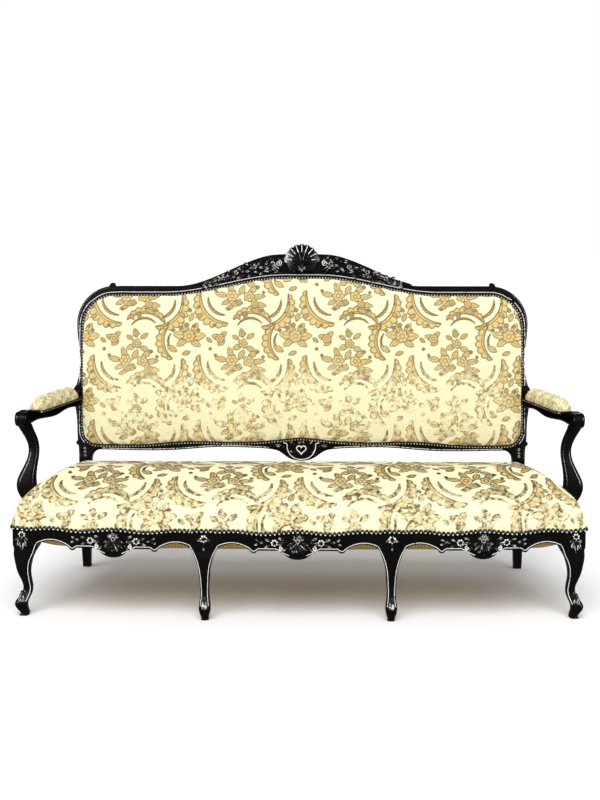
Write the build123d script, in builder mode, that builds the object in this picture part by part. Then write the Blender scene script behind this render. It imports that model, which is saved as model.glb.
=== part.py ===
from build123d import *
import os
from math import cos, pi, radians, sin, sqrt

# Three-seat settee in the eighteenth-century French manner: an ebonised show-wood frame joined with
# mortise and tenon, a sprung seat, an upholstered back and padded open arms.
# Millimetres. X runs to the sitter's left, the front faces -Y, +Z is up, the floor is Z = 0.

# Overall sizes
front_width = 1756.0  # across the outer faces of the front corner legs
back_width = 1554.0  # across the outer edges of the back posts
front_reach = 362.0  # from the middle of the settee forward to the face of the front rail
rear_reach = 273.0  # from the middle of the settee back to the rear face of the rear rail
front_bow = 46.0  # how far the front swells forward between its corners
rail_top = 285.0  # mean height of the show-wood edge that the seat cover is nailed to

# Seat frame
rail_thickness = 42.0
frame_top = 290.0  # top of the leg heads and of the side and rear rails
rail_wave = 4.0  # rise and fall of the rail's upper edge
wave_length = 200.0
arch_top = 242.0  # the lower edge beside each leg
arch_span = 100.0
arch_end = 229.0  # the lower edge where it runs on into the leg
waist_height = 222.0  # the lower edge between arch and cartouche
bud_width = 22.0  # little scroll bud where the arch meets the waist
bud_drop = 8.0
cartouche_drop = 194.0  # lowest point, under the carved cartouche
cartouche_half = 66.0
rear_rail_bottom = 218.0
rear_rail_thickness = 32.0
side_rail_bottom = 222.0
side_rail_bow = 10.0
brace_width = 40.0
brace_bottom = 228.0
brace_top = 256.0
block_leg = 62.0  # corner blocks, along each rail
block_height = 32.0
block_bottom = 240.0

# Front legs
inner_leg_x = 286.0  # centre of the two inner legs
inner_block_width = 82.0
inner_block_depth = 58.0
corner_block = 75.0  # square head of a corner leg
leg_proud = 6.0  # legs stand this far in front of the rails
leg_head_bottom = 226.0

# Back frame, measured up the lean of the back from the seat joint
back_lean = 8.5
back_face = 235.0  # front face of the back frame where the lean begins
lean_start = 400.0
back_thickness = 38.0
post_width = 52.0  # widest part, rebate included
post_foot_width = 43.0  # below the lower back rail
post_depth = 44.0  # at the seat rails
shoulder = 594.0  # straight ends of the crest
crest_rise = 110.0
crest_flat = 70.0
crest_slope_end = 430.0
crest_corner = 130.0
sight_shoulder = 559.0  # upper edge of the upholstery at the straight ends
sight_rise = 60.0
sight_flat = 60.0
sight_slope_end = 470.0
sight_margin = 24.0  # wood showing beside the upholstery
sight_corner = 106.0
sight_low_corner = 50.0
rebate_width = 28.0
rebate_depth = 8.0
frame_round = 6.0
shell_radius = 62.0
shell_height = 676.0
shell_ribs = 9
shell_dome = 170.0  # radius of its domed face
low_rail_drop = -9.0  # lowest point of the heart cartouche on the lower rail

# Arms
arm_joint_v = 214.0  # height of the arm on the post
arm_joint_x_in = 7.0  # arm centre, in from the post's outer edge
arm_seat = 607.0  # flat on the arm that the pad stands on
arm_under = 580.0  # flat under the hand that the support meets
arm_pad_rear = 200.0
arm_pad_front = -105.0
arm_pad_height = 50.0
support_y = -185.0
hand_overhang = 4.0  # hands reach this far outside the corner legs
scroll_radius = 23.0  # the scrolled end of the hand
scroll_width = 38.0
scroll_round = 8.0
scroll_y = -205.0
scroll_z = 601.0

# Joinery
tenon_length = 26.0
tenon_thickness = 12.0
tenon_height = 30.0
joint_clearance = 0.15  # each side of a tenon
joint_end_gap = 1.0
peg_diameter = 7.0
peg_clearance = 0.05
screw_diameter = 5.0
screw_head = 9.0
screw_length = 44.0
screw_clearance = 0.1

# Upholstery
seat_crown = 442.0
seat_draw = (200.0, 290.0, 395.0)  # how far front, sides and rear draw in up to the crown
seat_corner = 26.0  # rounding of the seat's plan corners at the rails
crown_corner = 8.0  # and up at the crown
seat_swell = 3.0  # the cover stands this far outside the rails
cover_thickness = 4.0
cloth_thickness = 1.2
web_thickness = 2.0
web_width = 52.0
spring_radius = 36.0
spring_waist = 24.0
spring_wall = 1.5
spring_top = 374.0
cavity_top = 376.0
dust_slack = 26.0
back_crown = 30.0
soft_gap = 0.3

front_half = front_width / 2
back_half = back_width / 2
post_inner = back_half - post_width
post_outer = post_inner + post_foot_width
crest_joint = back_half - crest_corner
sight_half = back_half - sight_margin
bow_radius = (front_half**2 + front_bow**2) / (2 * front_bow)
lean = radians(back_lean)
back_plane = Plane(origin=(0, back_face, lean_start), x_dir=(1, 0, 0), z_dir=(0, -cos(lean), sin(lean)))
inner_shoulder = inner_leg_x - inner_block_width / 2
outer_shoulder = inner_leg_x + inner_block_width / 2
corner_shoulder = front_half - corner_block
post_front = rear_reach - post_depth

os.makedirs("parts", exist_ok=True)


def ease(t):
    """A smooth step from 0 to 1."""
    t = min(max(t, 0.0), 1.0)
    return t * t * (3 - 2 * t)


def front_line(x, inset=0.0):
    """Plan position of the front rail's face, swelling forward in the middle."""
    return -front_reach + inset + bow_radius - sqrt(bow_radius**2 - x**2)


corner_front = front_line(front_half - corner_block / 2) - leg_proud
corner_back = corner_front + corner_block
inner_front = front_line(inner_leg_x) - leg_proud
inner_back = inner_front + inner_block_depth


def side_line(y, inset=0.0):
    """Plan position of the side rail's outer edge, closing in towards the back."""
    share = (y - corner_front) / (post_front - corner_front)
    return front_half + (post_outer - 1 - front_half) * share - inset


def crest_edge(x):
    """Upper edge of the crest rail."""
    return shoulder + crest_rise * ease((crest_slope_end - abs(x)) / (crest_slope_end - crest_flat))


def sight_edge(x):
    """Upper edge of the back upholstery."""
    return sight_shoulder + sight_rise * ease((sight_slope_end - abs(x)) / (sight_slope_end - sight_flat))


def back_at(x, v, w=0.0):
    """A place on the leaning back: x across, v up the lean, w forward of the frame's face."""
    return back_plane.location * Location((x, v, w))


def sight_face(inset, w=0.0):
    """Outline of the back upholstery, drawn in by an inset, w forward of the frame's face."""
    half = sight_half - inset
    top_round = max(sight_corner - inset, 14.0)
    low_round = max(sight_low_corner - inset, 14.0)
    top_x = half - top_round
    low_x = half - low_round
    top = sight_shoulder - inset
    low = 46.0 + inset
    steps = [-1.0, -0.72, -0.5, -0.3, -0.1, 0.1, 0.3, 0.5, 0.72, 1.0]
    crest = [(top_x * s, sight_edge(top_x * s) - inset) for s in steps]
    wave = [(low_x, low), (0.78 * low_x, low - 2), (0.56 * low_x, low + 13), (0.29 * low_x, low + 7)]
    wave = wave + [(0.13 * low_x, low + 14), (0, low + 27)]
    wave = wave + [(-x, v) for x, v in reversed(wave[:-1])]
    with BuildSketch(back_plane.offset(w)) as outline:
        with BuildLine():
            Spline(*crest, tangents=[(1, 0), (1, 0)])
            RadiusArc((top_x, top), (half, top - top_round), top_round)
            Line((half, top - top_round), (half, low + low_round))
            RadiusArc((half, low + low_round), (low_x, low), low_round)
            Spline(*wave, tangents=[(-1, 0), (-1, 0)])
            RadiusArc((-low_x, low), (-half, low + low_round), low_round)
            Line((-half, low + low_round), (-half, top - top_round))
            RadiusArc((-half, top - top_round), (-top_x, top), top_round)
        make_face()
    return outline


# The back frame is drawn as one ring on the leaning plane and then parted at its joints.
with BuildPart() as back_ring:
    side_top = shoulder - crest_corner
    crest_points = [(s * crest_slope_end / 8, crest_edge(s * crest_slope_end / 8)) for s in range(-8, 9)]
    side_points = [(back_half, side_top), (back_half - 11, 305), (back_half + 8, arm_joint_v)]
    side_points = side_points + [(back_half, 140), (back_half - 4, 60)]
    side_points = side_points + [(post_outer, 0)]
    low_points = [(post_inner - 28, 28), (600, 26), (525, 25), (422, 28), (284, 38), (181, 36), (112, 32)]
    low_points = low_points + [(78, 24), (56, 9), (30, -5), (0, low_rail_drop)]
    low_points = low_points + [(-x, v) for x, v in reversed(low_points[:-1])]
    with BuildSketch(back_plane) as ring_sketch:
        with BuildLine():
            Line((-crest_joint, shoulder), (-crest_slope_end, shoulder))
            Spline(*crest_points, tangents=[(1, 0), (1, 0)])
            Line((crest_slope_end, shoulder), (crest_joint, shoulder))
            RadiusArc((crest_joint, shoulder), (back_half, side_top), crest_corner)
            Spline(*side_points, tangents=[(0, -1), (0, -1)])
            Line((post_outer, 0), (post_inner, 0))
            RadiusArc((post_inner, 0), (post_inner - 28, 28), -28)
            Spline(*low_points, tangents=[(-1, 0), (-1, 0)])
            RadiusArc((28 - post_inner, 28), (-post_inner, 0), -28)
            Line((-post_inner, 0), (-post_outer, 0))
            Spline(*[(-x, v) for x, v in reversed(side_points)], tangents=[(0, 1), (0, 1)])
            RadiusArc((-back_half, side_top), (-crest_joint, shoulder), crest_corner)
        make_face()
        add(sight_face(rebate_width).sketch_local, mode=Mode.SUBTRACT)
    extrude(amount=-back_thickness)
    front_side = faces().sort_by(Axis((0, 0, 0), back_plane.z_dir))[-1]
    rim = [(back_plane.to_local_coords(e.center()), e) for e in front_side.outer_wire().edges()]
    fillet([e for at, e in rim if at.Y > 200], frame_round)
    fillet([e for at, e in rim if at.Y < 200 and abs(at.Y) > 0.5], frame_round)
    with BuildSketch(back_plane):
        add(sight_face(0).sketch_local)
    extrude(amount=-rebate_depth, mode=Mode.SUBTRACT)


# Joints, each a place and a size; the tenon and its mortise are both made from it.
crest_tenon_v = (sight_shoulder - rebate_width + shoulder) / 2
low_tenon_v = 46.0
front_tenon_z = (arch_end + rail_top) / 2
rear_tenon_z = 273.0
side_tenon_z = 241.0
brace_tenon_z = (brace_bottom + brace_top) / 2
rear_rail_front = rear_reach - rear_rail_thickness
rear_rail_y = rear_reach - rear_rail_thickness / 2
post_centre = (post_inner + post_outer) / 2
side_rail_x = side_line(corner_back) - rail_thickness / 2


def tenon(place, size):
    """A tenon standing on the end of the piece being built."""
    with Locations(place):
        Box(*size)


def mortise(place, size, along):
    """The hole for a tenon: a little clearance each side, and an end gap along its length."""
    grown = [length + 2 * joint_clearance for length in size]
    grown[along] = size[along] + 2 * joint_end_gap
    with Locations(place):
        Box(*grown, mode=Mode.SUBTRACT)


def peg(place, length, grow=0.0, mode=Mode.ADD):
    """A round peg whose outer end lies at the place and which runs along the place's -Z."""
    with Locations(place):
        align = (Align.CENTER, Align.CENTER, Align.MAX)
        Cylinder(peg_diameter / 2 + grow, length + (joint_end_gap if grow else 0), align=align, mode=mode)


def crest_tenon(side):
    place = back_at(side * (crest_joint + tenon_length / 2), crest_tenon_v, -back_thickness / 2)
    return place, (tenon_length, tenon_height, tenon_thickness)


def low_tenon(side):
    place = back_at(side * (post_inner + tenon_length / 2), low_tenon_v, -back_thickness / 2)
    return place, (tenon_length, tenon_height, tenon_thickness)


def arm_tenon(side):
    place = back_at(side * (back_half - arm_joint_x_in), arm_joint_v, -tenon_length / 2)
    return place, (tenon_thickness, tenon_height, tenon_length)


def rear_tenon(side):
    place = Location((side * (post_inner + tenon_length / 2), rear_rail_y, rear_tenon_z))
    return place, (tenon_length, tenon_thickness, tenon_height)


def side_rear_tenon(side):
    place = Location((side * post_centre, post_front + tenon_length / 2, side_tenon_z))
    return place, (tenon_thickness, tenon_length, tenon_height)


def side_front_tenon(side):
    place = Location((side * side_rail_x, corner_back - tenon_length / 2, side_tenon_z))
    return place, (tenon_thickness, tenon_length, tenon_height)


def front_tenon(shoulder_x, side):
    """Tenon on a front rail's end, at shoulder_x and pointing to the side."""
    y = front_line(shoulder_x) + rail_thickness / 2
    place = Location((shoulder_x + side * tenon_length / 2, y, front_tenon_z))
    return place, (tenon_length, tenon_thickness, tenon_height)


def brace_front_tenon(side):
    place = Location((side * inner_leg_x, inner_back - tenon_length / 2, brace_tenon_z))
    return place, (tenon_thickness, tenon_length, tenon_height / 2)


def brace_rear_tenon(side):
    reach = rear_rail_thickness / 2
    place = Location((side * inner_leg_x, rear_rail_front + reach / 2, brace_tenon_z))
    return place, (tenon_thickness, reach, tenon_height / 2)


def support_foot_tenon(side):
    x = side * (side_line(support_y) - rail_thickness / 2)
    place = Location((x, support_y, frame_top - tenon_length / 2))
    return place, (tenon_thickness, tenon_height, tenon_length)


def support_head_tenon(side):
    place = Location((side * arm_x(support_y), support_y + 4, arm_under + tenon_length / 4))
    return place, (tenon_thickness, tenon_height / 2, tenon_length / 2)


def arm_x(y):
    """Centre line of an arm in plan, spreading outward to the hand."""
    start = back_half - arm_joint_x_in
    end = front_half + hand_overhang - 21
    reach = max((back_face - y) / (back_face - support_y), 0)
    return start + (end - start) * reach


peg_inset = tenon_length / 2 - 1
peg_depth = back_thickness - 10
back_pegs = []
seat_pegs = []
for side in (-1, 1):
    turned = Location((0, 0, 0), (0, 180, 0))
    back_pegs.append((back_at(side * (crest_joint + peg_inset), crest_tenon_v, -back_thickness) * turned, peg_depth))
    back_pegs.append((back_at(side * (post_inner + peg_inset), low_tenon_v, -back_thickness) * turned, peg_depth))
    backward = Location((side * (post_inner + peg_inset), rear_reach, rear_tenon_z), (-90, 0, 0))
    back_pegs.append((backward, post_depth - 10))
    backward = Location((side * (corner_shoulder + peg_inset), corner_back, front_tenon_z), (-90, 0, 0))
    seat_pegs.append((backward, corner_block - 14))
    for way in (-1, 1):
        x = inner_leg_x + way * (inner_block_width / 2 - peg_inset)
        backward = Location((side * x, inner_back, front_tenon_z), (-90, 0, 0))
        seat_pegs.append((backward, inner_block_depth - 14))
    inward = Location((side * corner_shoulder, corner_back - peg_inset, side_tenon_z), (0, -90 * side, 0))
    seat_pegs.append((inward, corner_block - 14))


def drill(pegs):
    """Peg holes through the piece being built."""
    for place, length in pegs:
        peg(place, length, peg_clearance, Mode.SUBTRACT)


def screw(place, grow=0.0):
    """A screw with its head's seat at the place, running along the place's -Z; grown, it cuts a hole."""
    mode = Mode.SUBTRACT if grow else Mode.ADD
    with Locations(place):
        shank = (Align.CENTER, Align.CENTER, Align.MAX)
        Cylinder(screw_diameter / 2 + grow, screw_length + 10 * grow, align=shank, mode=mode)
        head = (Align.CENTER, Align.CENTER, Align.MIN)
        Cylinder(screw_head / 2 + grow, 70 if grow else 3, align=head, mode=mode)


def side_inner(y):
    """Plan position of the side rail's inner face."""
    return side_line(y, rail_thickness - 2)


rail_back = front_line(corner_shoulder) + rail_thickness
screw_z = block_bottom + block_height / 2
screw_y = (corner_back + block_leg / 2, post_front - block_leg / 2)
front_screw = Location((corner_shoulder - block_leg / 3, rail_back + 20, screw_z), (-90, 0, 0))
side_screws = [Location((side_inner(y) - 16, y, screw_z), (0, -90, 0)) for y in screw_y]
rear_screws = []
for side in (-1, 1):
    place = (side * (post_inner - block_leg / 3), rear_rail_front - 20, screw_z)
    rear_screws.append(Location(place, (90, 0, 0)))


def write(part, name):
    """Label a finished piece and write its file."""
    part.label = name
    export_step(part, f"parts/{name}.step")
    return part


def write_pair(part, name):
    """Write the piece for the +X side and its mirror image for the -X side."""
    other = mirror(part, about=Plane.YZ)
    write(part, f"right_{name}")
    write(other, f"left_{name}")
    return part, other


# Crest rail: the arched top of the back, tenoned into the posts at both ends.
with BuildPart() as crest_rail:
    add(back_ring.part)
    with BuildSketch(back_plane):
        with Locations((0, shoulder)):
            Rectangle(2 * crest_joint, shoulder)
    extrude(amount=3 * back_thickness, both=True, mode=Mode.INTERSECT)
    for side in (-1, 1):
        tenon(*crest_tenon(side))
    drill(back_pegs)
write(crest_rail.part, "crest_rail")

# Lower back rail with its heart cartouche, tenoned into the posts.
with BuildPart() as low_rail:
    add(back_ring.part)
    with BuildSketch(back_plane):
        Rectangle(2 * post_inner, shoulder)
    extrude(amount=3 * back_thickness, both=True, mode=Mode.INTERSECT)
    for side in (-1, 1):
        tenon(*low_tenon(side))
    drill(back_pegs)
write(low_rail.part, "lower_back_rail")

# Back post: the upper post with its curved shoulder and the rear leg, sawn from one plank.
with BuildPart() as post:
    add(back_ring.part)
    with BuildSketch(back_plane):
        with BuildLine():
            far = back_half + 60
            corners = [(post_inner, -60), (far, -60), (far, shoulder + 60), (crest_joint, shoulder + 60)]
            Polyline(*corners, (crest_joint, shoulder / 2), (post_inner, shoulder / 2), close=True)
        make_face()
    extrude(amount=3 * back_thickness, both=True, mode=Mode.INTERSECT)
    with Locations(back_at(crest_joint + 6, shoulder - 2, -back_thickness / 2)):
        Cylinder(13, back_thickness - 10)
    with BuildSketch(Plane.YZ.offset(crest_joint)):
        with Locations((back_face + back_thickness + 100, lean_start + shoulder)):
            Rectangle(600, 400)
    extrude(amount=-60, mode=Mode.SUBTRACT)
    with Locations(back_at(post_outer + 1, 52, -back_thickness / 2)):
        Cylinder(9, back_thickness - 8)
    seat_joint = Plane(origin=back_plane.origin, x_dir=(1, 0, 0), z_dir=back_plane.y_dir)
    with BuildSketch(seat_joint) as post_top:
        with Locations((post_centre, back_thickness / 2)):
            RectangleRounded(post_foot_width, back_thickness, 5)
    post_y = rear_reach - post_depth / 2
    with BuildSketch(Plane.XY.offset(rail_top + 20)) as post_seat:
        with Locations((post_centre, post_y)):
            RectangleRounded(post_foot_width, post_depth, 5)
    loft([post_top.sketch, post_seat.sketch])
    extrude(post_seat.sketch, amount=rear_rail_bottom - 4 - rail_top - 20)
    leg_sections = [(rear_rail_bottom - 4, post_foot_width, post_depth, 0, 0)]
    leg_sections = leg_sections + [(110, 34, 38, 4, 6), (0, 28, 30, 11, 50)]
    steps = []
    for z, width, depth, out, back in leg_sections:
        with BuildSketch(Plane.XY.offset(z)) as step:
            with Locations((post_centre + out, post_y + back)):
                RectangleRounded(width, depth, 5)
        steps.append(step.sketch)
    loft(steps)
    mortise(*crest_tenon(1), 0)
    mortise(*low_tenon(1), 0)
    mortise(*arm_tenon(1), 2)
    mortise(*rear_tenon(1), 0)
    mortise(*side_rear_tenon(1), 1)
    drill(back_pegs)
right_post, left_post = write_pair(post.part, "back_post")

# Scallop shell on the crest: a ribbed fan, glued to the face and upper edge of the rail.
with BuildPart() as shell:
    lobe = shell_radius * sin(pi / (2 * shell_ribs)) * 1.15
    with BuildSketch(back_plane.offset(-back_thickness * 0.6)):
        with Locations((0, shell_height)):
            Circle(shell_radius - lobe)
            with PolarLocations(shell_radius - lobe, shell_ribs, 90 / shell_ribs, 180):
                Circle(lobe)
        with Locations((0, shell_height - shell_radius)):
            Rectangle(2 * shell_radius, shell_radius, mode=Mode.SUBTRACT)
    extrude(amount=back_thickness * 0.6 + 30)
    with Locations(back_at(0, shell_height, 16 - shell_dome)):
        Sphere(shell_dome, mode=Mode.INTERSECT)
    for rib in range(1, shell_ribs):
        turn = back_at(0, shell_height - 20, 15) * Location((0, 0, 0), (0, 0, 180 * rib / shell_ribs))
        with Locations(turn * Location((0, 0, 0), (0, 90, 0))):
            Cone(1, 5, 90, align=(Align.CENTER, Align.CENTER, Align.MIN), mode=Mode.SUBTRACT)
    add(crest_rail.part, mode=Mode.SUBTRACT)
write(shell.part, "crest_shell")

# Rear seat rail, plain, tenoned into the posts and mortised for the two seat braces.
with BuildPart() as rear_rail:
    height = frame_top - rear_rail_bottom
    with Locations((0, rear_rail_y, rear_rail_bottom + height / 2)):
        Box(2 * post_inner, rear_rail_thickness, height)
    chamfer(edges().filter_by(Axis.X), 2)
    for side in (-1, 1):
        tenon(*rear_tenon(side))
        mortise(*brace_rear_tenon(side), 1)
    drill(back_pegs)
    for place in rear_screws:
        screw(place, screw_clearance)
write(rear_rail.part, "rear_seat_rail")


def front_rail(centre, half):
    """Serpentine front rail: bowed in plan, wavy above, with a cartouche, buds and arches below."""
    bud_end = half - arch_span
    bud_start = bud_end - bud_width
    left = centre - half
    right = centre + half
    waves = [half * (1 - i / 12) for i in range(25)]
    top = [(centre + u, rail_top + rail_wave * cos(2 * pi * u / wave_length)) for u in waves]
    with BuildPart() as rail:
        with BuildSketch():
            with BuildLine():
                face = [(x, front_line(x)) for x in (left, centre, right)]
                rear = [(x, y + rail_thickness) for x, y in face]
                ThreePointArc(*face)
                Line(face[2], rear[2])
                ThreePointArc(*reversed(rear))
                Line(rear[0], face[0])
            make_face()
        extrude(amount=rail_top + 60)
        with BuildSketch(Plane.XZ):
            with BuildLine():
                dip = [(0.0, cartouche_drop), (0.5 * cartouche_half, cartouche_drop + 10)]
                dip = dip + [(cartouche_half, waist_height)]
                full = [(centre - u, z) for u, z in reversed(dip[1:])] + [(centre + u, z) for u, z in dip]
                Spline(*full, tangents=[(1, 0), (1, 0)])
                for way in (-1, 1):
                    start = (centre + way * bud_start, waist_height)
                    end = (centre + way * bud_end, waist_height)
                    low = (centre + way * (bud_start + bud_width / 2), waist_height - bud_drop)
                    high = (centre + way * (bud_end + 0.58 * arch_span), arch_top)
                    foot = (centre + way * half, arch_end)
                    Line((centre + way * cartouche_half, waist_height), start)
                    ThreePointArc(start, low, end)
                    ThreePointArc(end, high, foot)
                Line((right, arch_end), top[0])
                Spline(*top)
                Line(top[-1], (left, arch_end))
            make_face()
        extrude(amount=2 * front_reach, both=True, mode=Mode.INTERSECT)
        tenon(*front_tenon(left, -1))
        tenon(*front_tenon(right, 1))
        drill(seat_pegs)
        screw(front_screw, screw_clearance)
    return rail.part


bay_half = (corner_shoulder - outer_shoulder) / 2
bay_centre = (corner_shoulder + outer_shoulder) / 2
write(front_rail(0, inner_shoulder), "centre_front_rail")
write_pair(front_rail(bay_centre, bay_half), "front_rail")


def leg_section(z, width, depth, x, y, corner):
    """One sawn and rounded cross-section of a leg."""
    with BuildSketch(Plane.XY.offset(z)) as section:
        with Locations((x, y)):
            RectangleRounded(width, depth, corner)
    return section.sketch


# Inner front leg: a cabriole leg with ears that run on into the rails' arches.
with BuildPart() as inner_leg:
    steps = [(leg_head_bottom, inner_block_width, inner_block_depth, 0, 5), (206, 62, 52, -2, 8)]
    steps = steps + [(182, 46, 46, -3, 12), (150, 35, 38, 3, 11), (110, 30, 31, 12, 10), (82, 28, 29, 14, 9)]
    steps = steps + [(48, 35, 38, 1, 12), (22, 31, 33, 4, 10), (0, 24, 26, 9, 8)]
    outlines = []
    for z, width, depth, back, corner in steps:
        outlines.append(leg_section(z, width, depth, inner_leg_x, inner_front + back + depth / 2, corner))
    loft(outlines)
    extrude(outlines[0], amount=frame_top - leg_head_bottom)
    mortise(*front_tenon(inner_shoulder, 1), 0)
    mortise(*front_tenon(outer_shoulder, -1), 0)
    mortise(*brace_front_tenon(1), 1)
    drill(seat_pegs)
right_inner, left_inner = write_pair(inner_leg.part, "inner_front_leg")

# Corner front leg: the same cabriole turned to the corner, its knee and toe pointing outward.
with BuildPart() as corner_leg:
    steps = [(leg_head_bottom, corner_block, 0, 5), (204, 66, 1, 9), (180, 54, 2, 12), (148, 42, 7, 11)]
    steps = steps + [(110, 31, 19, 9), (82, 29, 23, 9), (48, 38, 3, 11), (22, 33, 6, 10), (0, 27, 11, 8)]
    outlines = []
    for z, size, inset, corner in steps:
        x = front_half - inset - size / 2
        y = corner_front + inset + size / 2
        outlines.append(leg_section(z, size, size, x, y, corner))
    loft(outlines)
    extrude(outlines[0], amount=frame_top - leg_head_bottom)
    mortise(*front_tenon(corner_shoulder, 1), 0)
    mortise(*side_front_tenon(1), 1)
    drill(seat_pegs)
right_corner, left_corner = write_pair(corner_leg.part, "corner_front_leg")

# Side seat rail, bowed outward a little, from corner leg to back post.
with BuildPart() as side_rail:
    with BuildSketch():
        with BuildLine():
            outer = [(side_line(y), y) for y in (corner_back, post_front)]
            inner = [(side_inner(y), y) for y in (corner_back, post_front)]
            SagittaArc(outer[0], outer[1], side_rail_bow)
            Line(outer[1], inner[1])
            Line(inner[1], inner[0])
            Line(inner[0], outer[0])
        make_face()
    extrude(amount=frame_top)
    with BuildSketch(Plane.YZ):
        with BuildLine():
            span = arch_span / 2
            arch = [(corner_back, arch_end), (corner_back + span / 2, arch_top - 4)]
            ThreePointArc(*arch, (corner_back + span, side_rail_bottom))
            Line((corner_back + span, side_rail_bottom), (post_front, side_rail_bottom))
            Line((post_front, side_rail_bottom), (post_front, frame_top))
            Line((post_front, frame_top), (corner_back, frame_top))
            Line((corner_back, frame_top), (corner_back, arch_end))
        make_face()
    extrude(amount=front_width, mode=Mode.INTERSECT)
    tenon(*side_rear_tenon(1))
    tenon(*side_front_tenon(1))
    mortise(*support_foot_tenon(1), 2)
    drill(seat_pegs)
    for place in side_screws:
        screw(place, screw_clearance)
right_side, left_side = write_pair(side_rail.part, "side_seat_rail")

# Seat brace from each inner leg back to the rear rail.
with BuildPart() as brace:
    length = rear_rail_front - inner_back
    with Locations((inner_leg_x, inner_back + length / 2, brace_tenon_z)):
        Box(brace_width, length, brace_top - brace_bottom)
    tenon(*brace_front_tenon(1))
    tenon(*brace_rear_tenon(1))
write_pair(brace.part, "seat_brace")


def arm_section(y, x, z, width, height, corner):
    """One cross-section of an arm, standing across it."""
    with BuildSketch(Plane(origin=(0, y, 0), x_dir=(1, 0, 0), z_dir=(0, -1, 0))) as section:
        with Locations((x, z)):
            RectangleRounded(width, height, corner)
    return section.sketch


# Scrolled end of an arm's hand, its rims rounded over.
with BuildPart() as hand_scroll:
    Cylinder(scroll_radius, scroll_width, rotation=(0, 90, 0))
    fillet(edges().filter_by(GeomType.CIRCLE), scroll_round)

# Arm: from the post, flat under its pad, to a scrolled hand that stands out beyond the support.
with BuildPart() as arm:
    steps = [(-214, 600, 34, 36, 14), (-182, 603, 43, 48, 15), (-135, 602, 44, 34, 12), (-90, 599, 48, 27, 9)]
    steps = steps + [(60, 598, 50, 26, 9), (190, 599, 40, 32, 10), (255, 612, 32, 58, 10)]
    steps = steps + [(330, 632, 32, 70, 10)]
    loft([arm_section(y, arm_x(y), z, width, height, c) for y, z, width, height, c in steps])
    split(bisect_by=back_plane, keep=Keep.TOP)
    add(Pos(arm_x(scroll_y), scroll_y, scroll_z) * hand_scroll.part)
    pad_length = arm_pad_rear - arm_pad_front + 6
    pad_spread = 2 * (arm_x(arm_pad_front) - arm_x(arm_pad_rear)) + 100
    pad_middle = (arm_pad_rear + arm_pad_front) / 2
    with Locations((arm_x(pad_middle), pad_middle, arm_seat)):
        Box(pad_spread, pad_length, 60, align=(Align.CENTER, Align.CENTER, Align.MIN), mode=Mode.SUBTRACT)
    with Locations((arm_x(support_y), support_y + 4, arm_under)):
        Box(120, 64, 60, align=(Align.CENTER, Align.CENTER, Align.MAX), mode=Mode.SUBTRACT)
    tenon(*arm_tenon(1))
    mortise(*support_head_tenon(1), 2)
right_arm, left_arm = write_pair(arm.part, "arm")

# Arm support: an S-curved stump tenoned into the side rail below and into the arm above.
with BuildPart() as support:
    foot_x = side_line(support_y) - rail_thickness / 2
    hand_x = arm_x(support_y)
    steps = [(frame_top, 40, 54, foot_x, 0, 8), (345, 50, 54, (foot_x + hand_x) / 2, -2, 12)]
    steps = steps + [(400, 58, 50, hand_x - 3, -4, 14), (450, 40, 42, hand_x - 15, 6, 12)]
    steps = steps + [(502, 31, 36, hand_x - 24, 18, 10), (545, 35, 40, hand_x - 13, 16, 11)]
    steps = steps + [(arm_under, 42, 46, hand_x, 4, 14)]
    outlines = [leg_section(z, w, d, x, support_y + back, c) for z, w, d, x, back, c in steps]
    loft(outlines)
    tenon(*support_foot_tenon(1))
    tenon(*support_head_tenon(1))
right_support, left_support = write_pair(support.part, "arm_support")

# Pegs that lock the tenons.
with BuildPart() as pegs:
    for place, length in back_pegs + seat_pegs:
        peg(place, length)
write(pegs.part, "joint_pegs")


# Corner blocks, glued and screwed into the four inner corners of the seat frame.
with BuildPart() as front_block:
    with BuildSketch(Plane.XY.offset(block_bottom)):
        with BuildLine():
            near = corner_shoulder - block_leg
            far = corner_back + block_leg
            corners = [(near, front_line(near) + rail_thickness), (corner_shoulder, rail_back)]
            corners = corners + [(corner_shoulder, corner_back), (side_inner(corner_back), corner_back)]
            Polyline(*corners, (side_inner(far), far), close=True)
        make_face()
    extrude(amount=block_height)
    screw(front_screw, screw_clearance)
    screw(side_screws[0], screw_clearance)
write_pair(front_block.part, "front_corner_block")

with BuildPart() as rear_block:
    with BuildSketch(Plane.XY.offset(block_bottom)):
        with BuildLine():
            near = post_inner - block_leg
            far = post_front - block_leg
            corners = [(near, rear_rail_front), (post_inner, rear_rail_front)]
            corners = corners + [(post_inner, post_front), (side_inner(post_front), post_front)]
            Polyline(*corners, (side_inner(far), far), close=True)
        make_face()
    extrude(amount=block_height)
    screw(rear_screws[1], screw_clearance)
    screw(side_screws[1], screw_clearance)
write_pair(rear_block.part, "rear_corner_block")

with BuildPart() as screws:
    for place in [front_screw, rear_screws[1]] + side_screws:
        screw(place)
    mirror(about=Plane.YZ)
write(screws.part, "corner_block_screws")

# Seat upholstery, from the webbing upward. The cover's hem rests on the highest of the wood.
seat_base = max(rail_top + rail_wave, frame_top) + soft_gap
spring_base = brace_bottom
spring_rows = (-140.0, 60.0)
spring_pitch = 150.0
outer_column = post_inner - 85  # straps clear the posts at the back
columns = [spring_pitch / 2, outer_column - spring_pitch, outer_column]
columns = [-x for x in reversed(columns)] + columns

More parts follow.
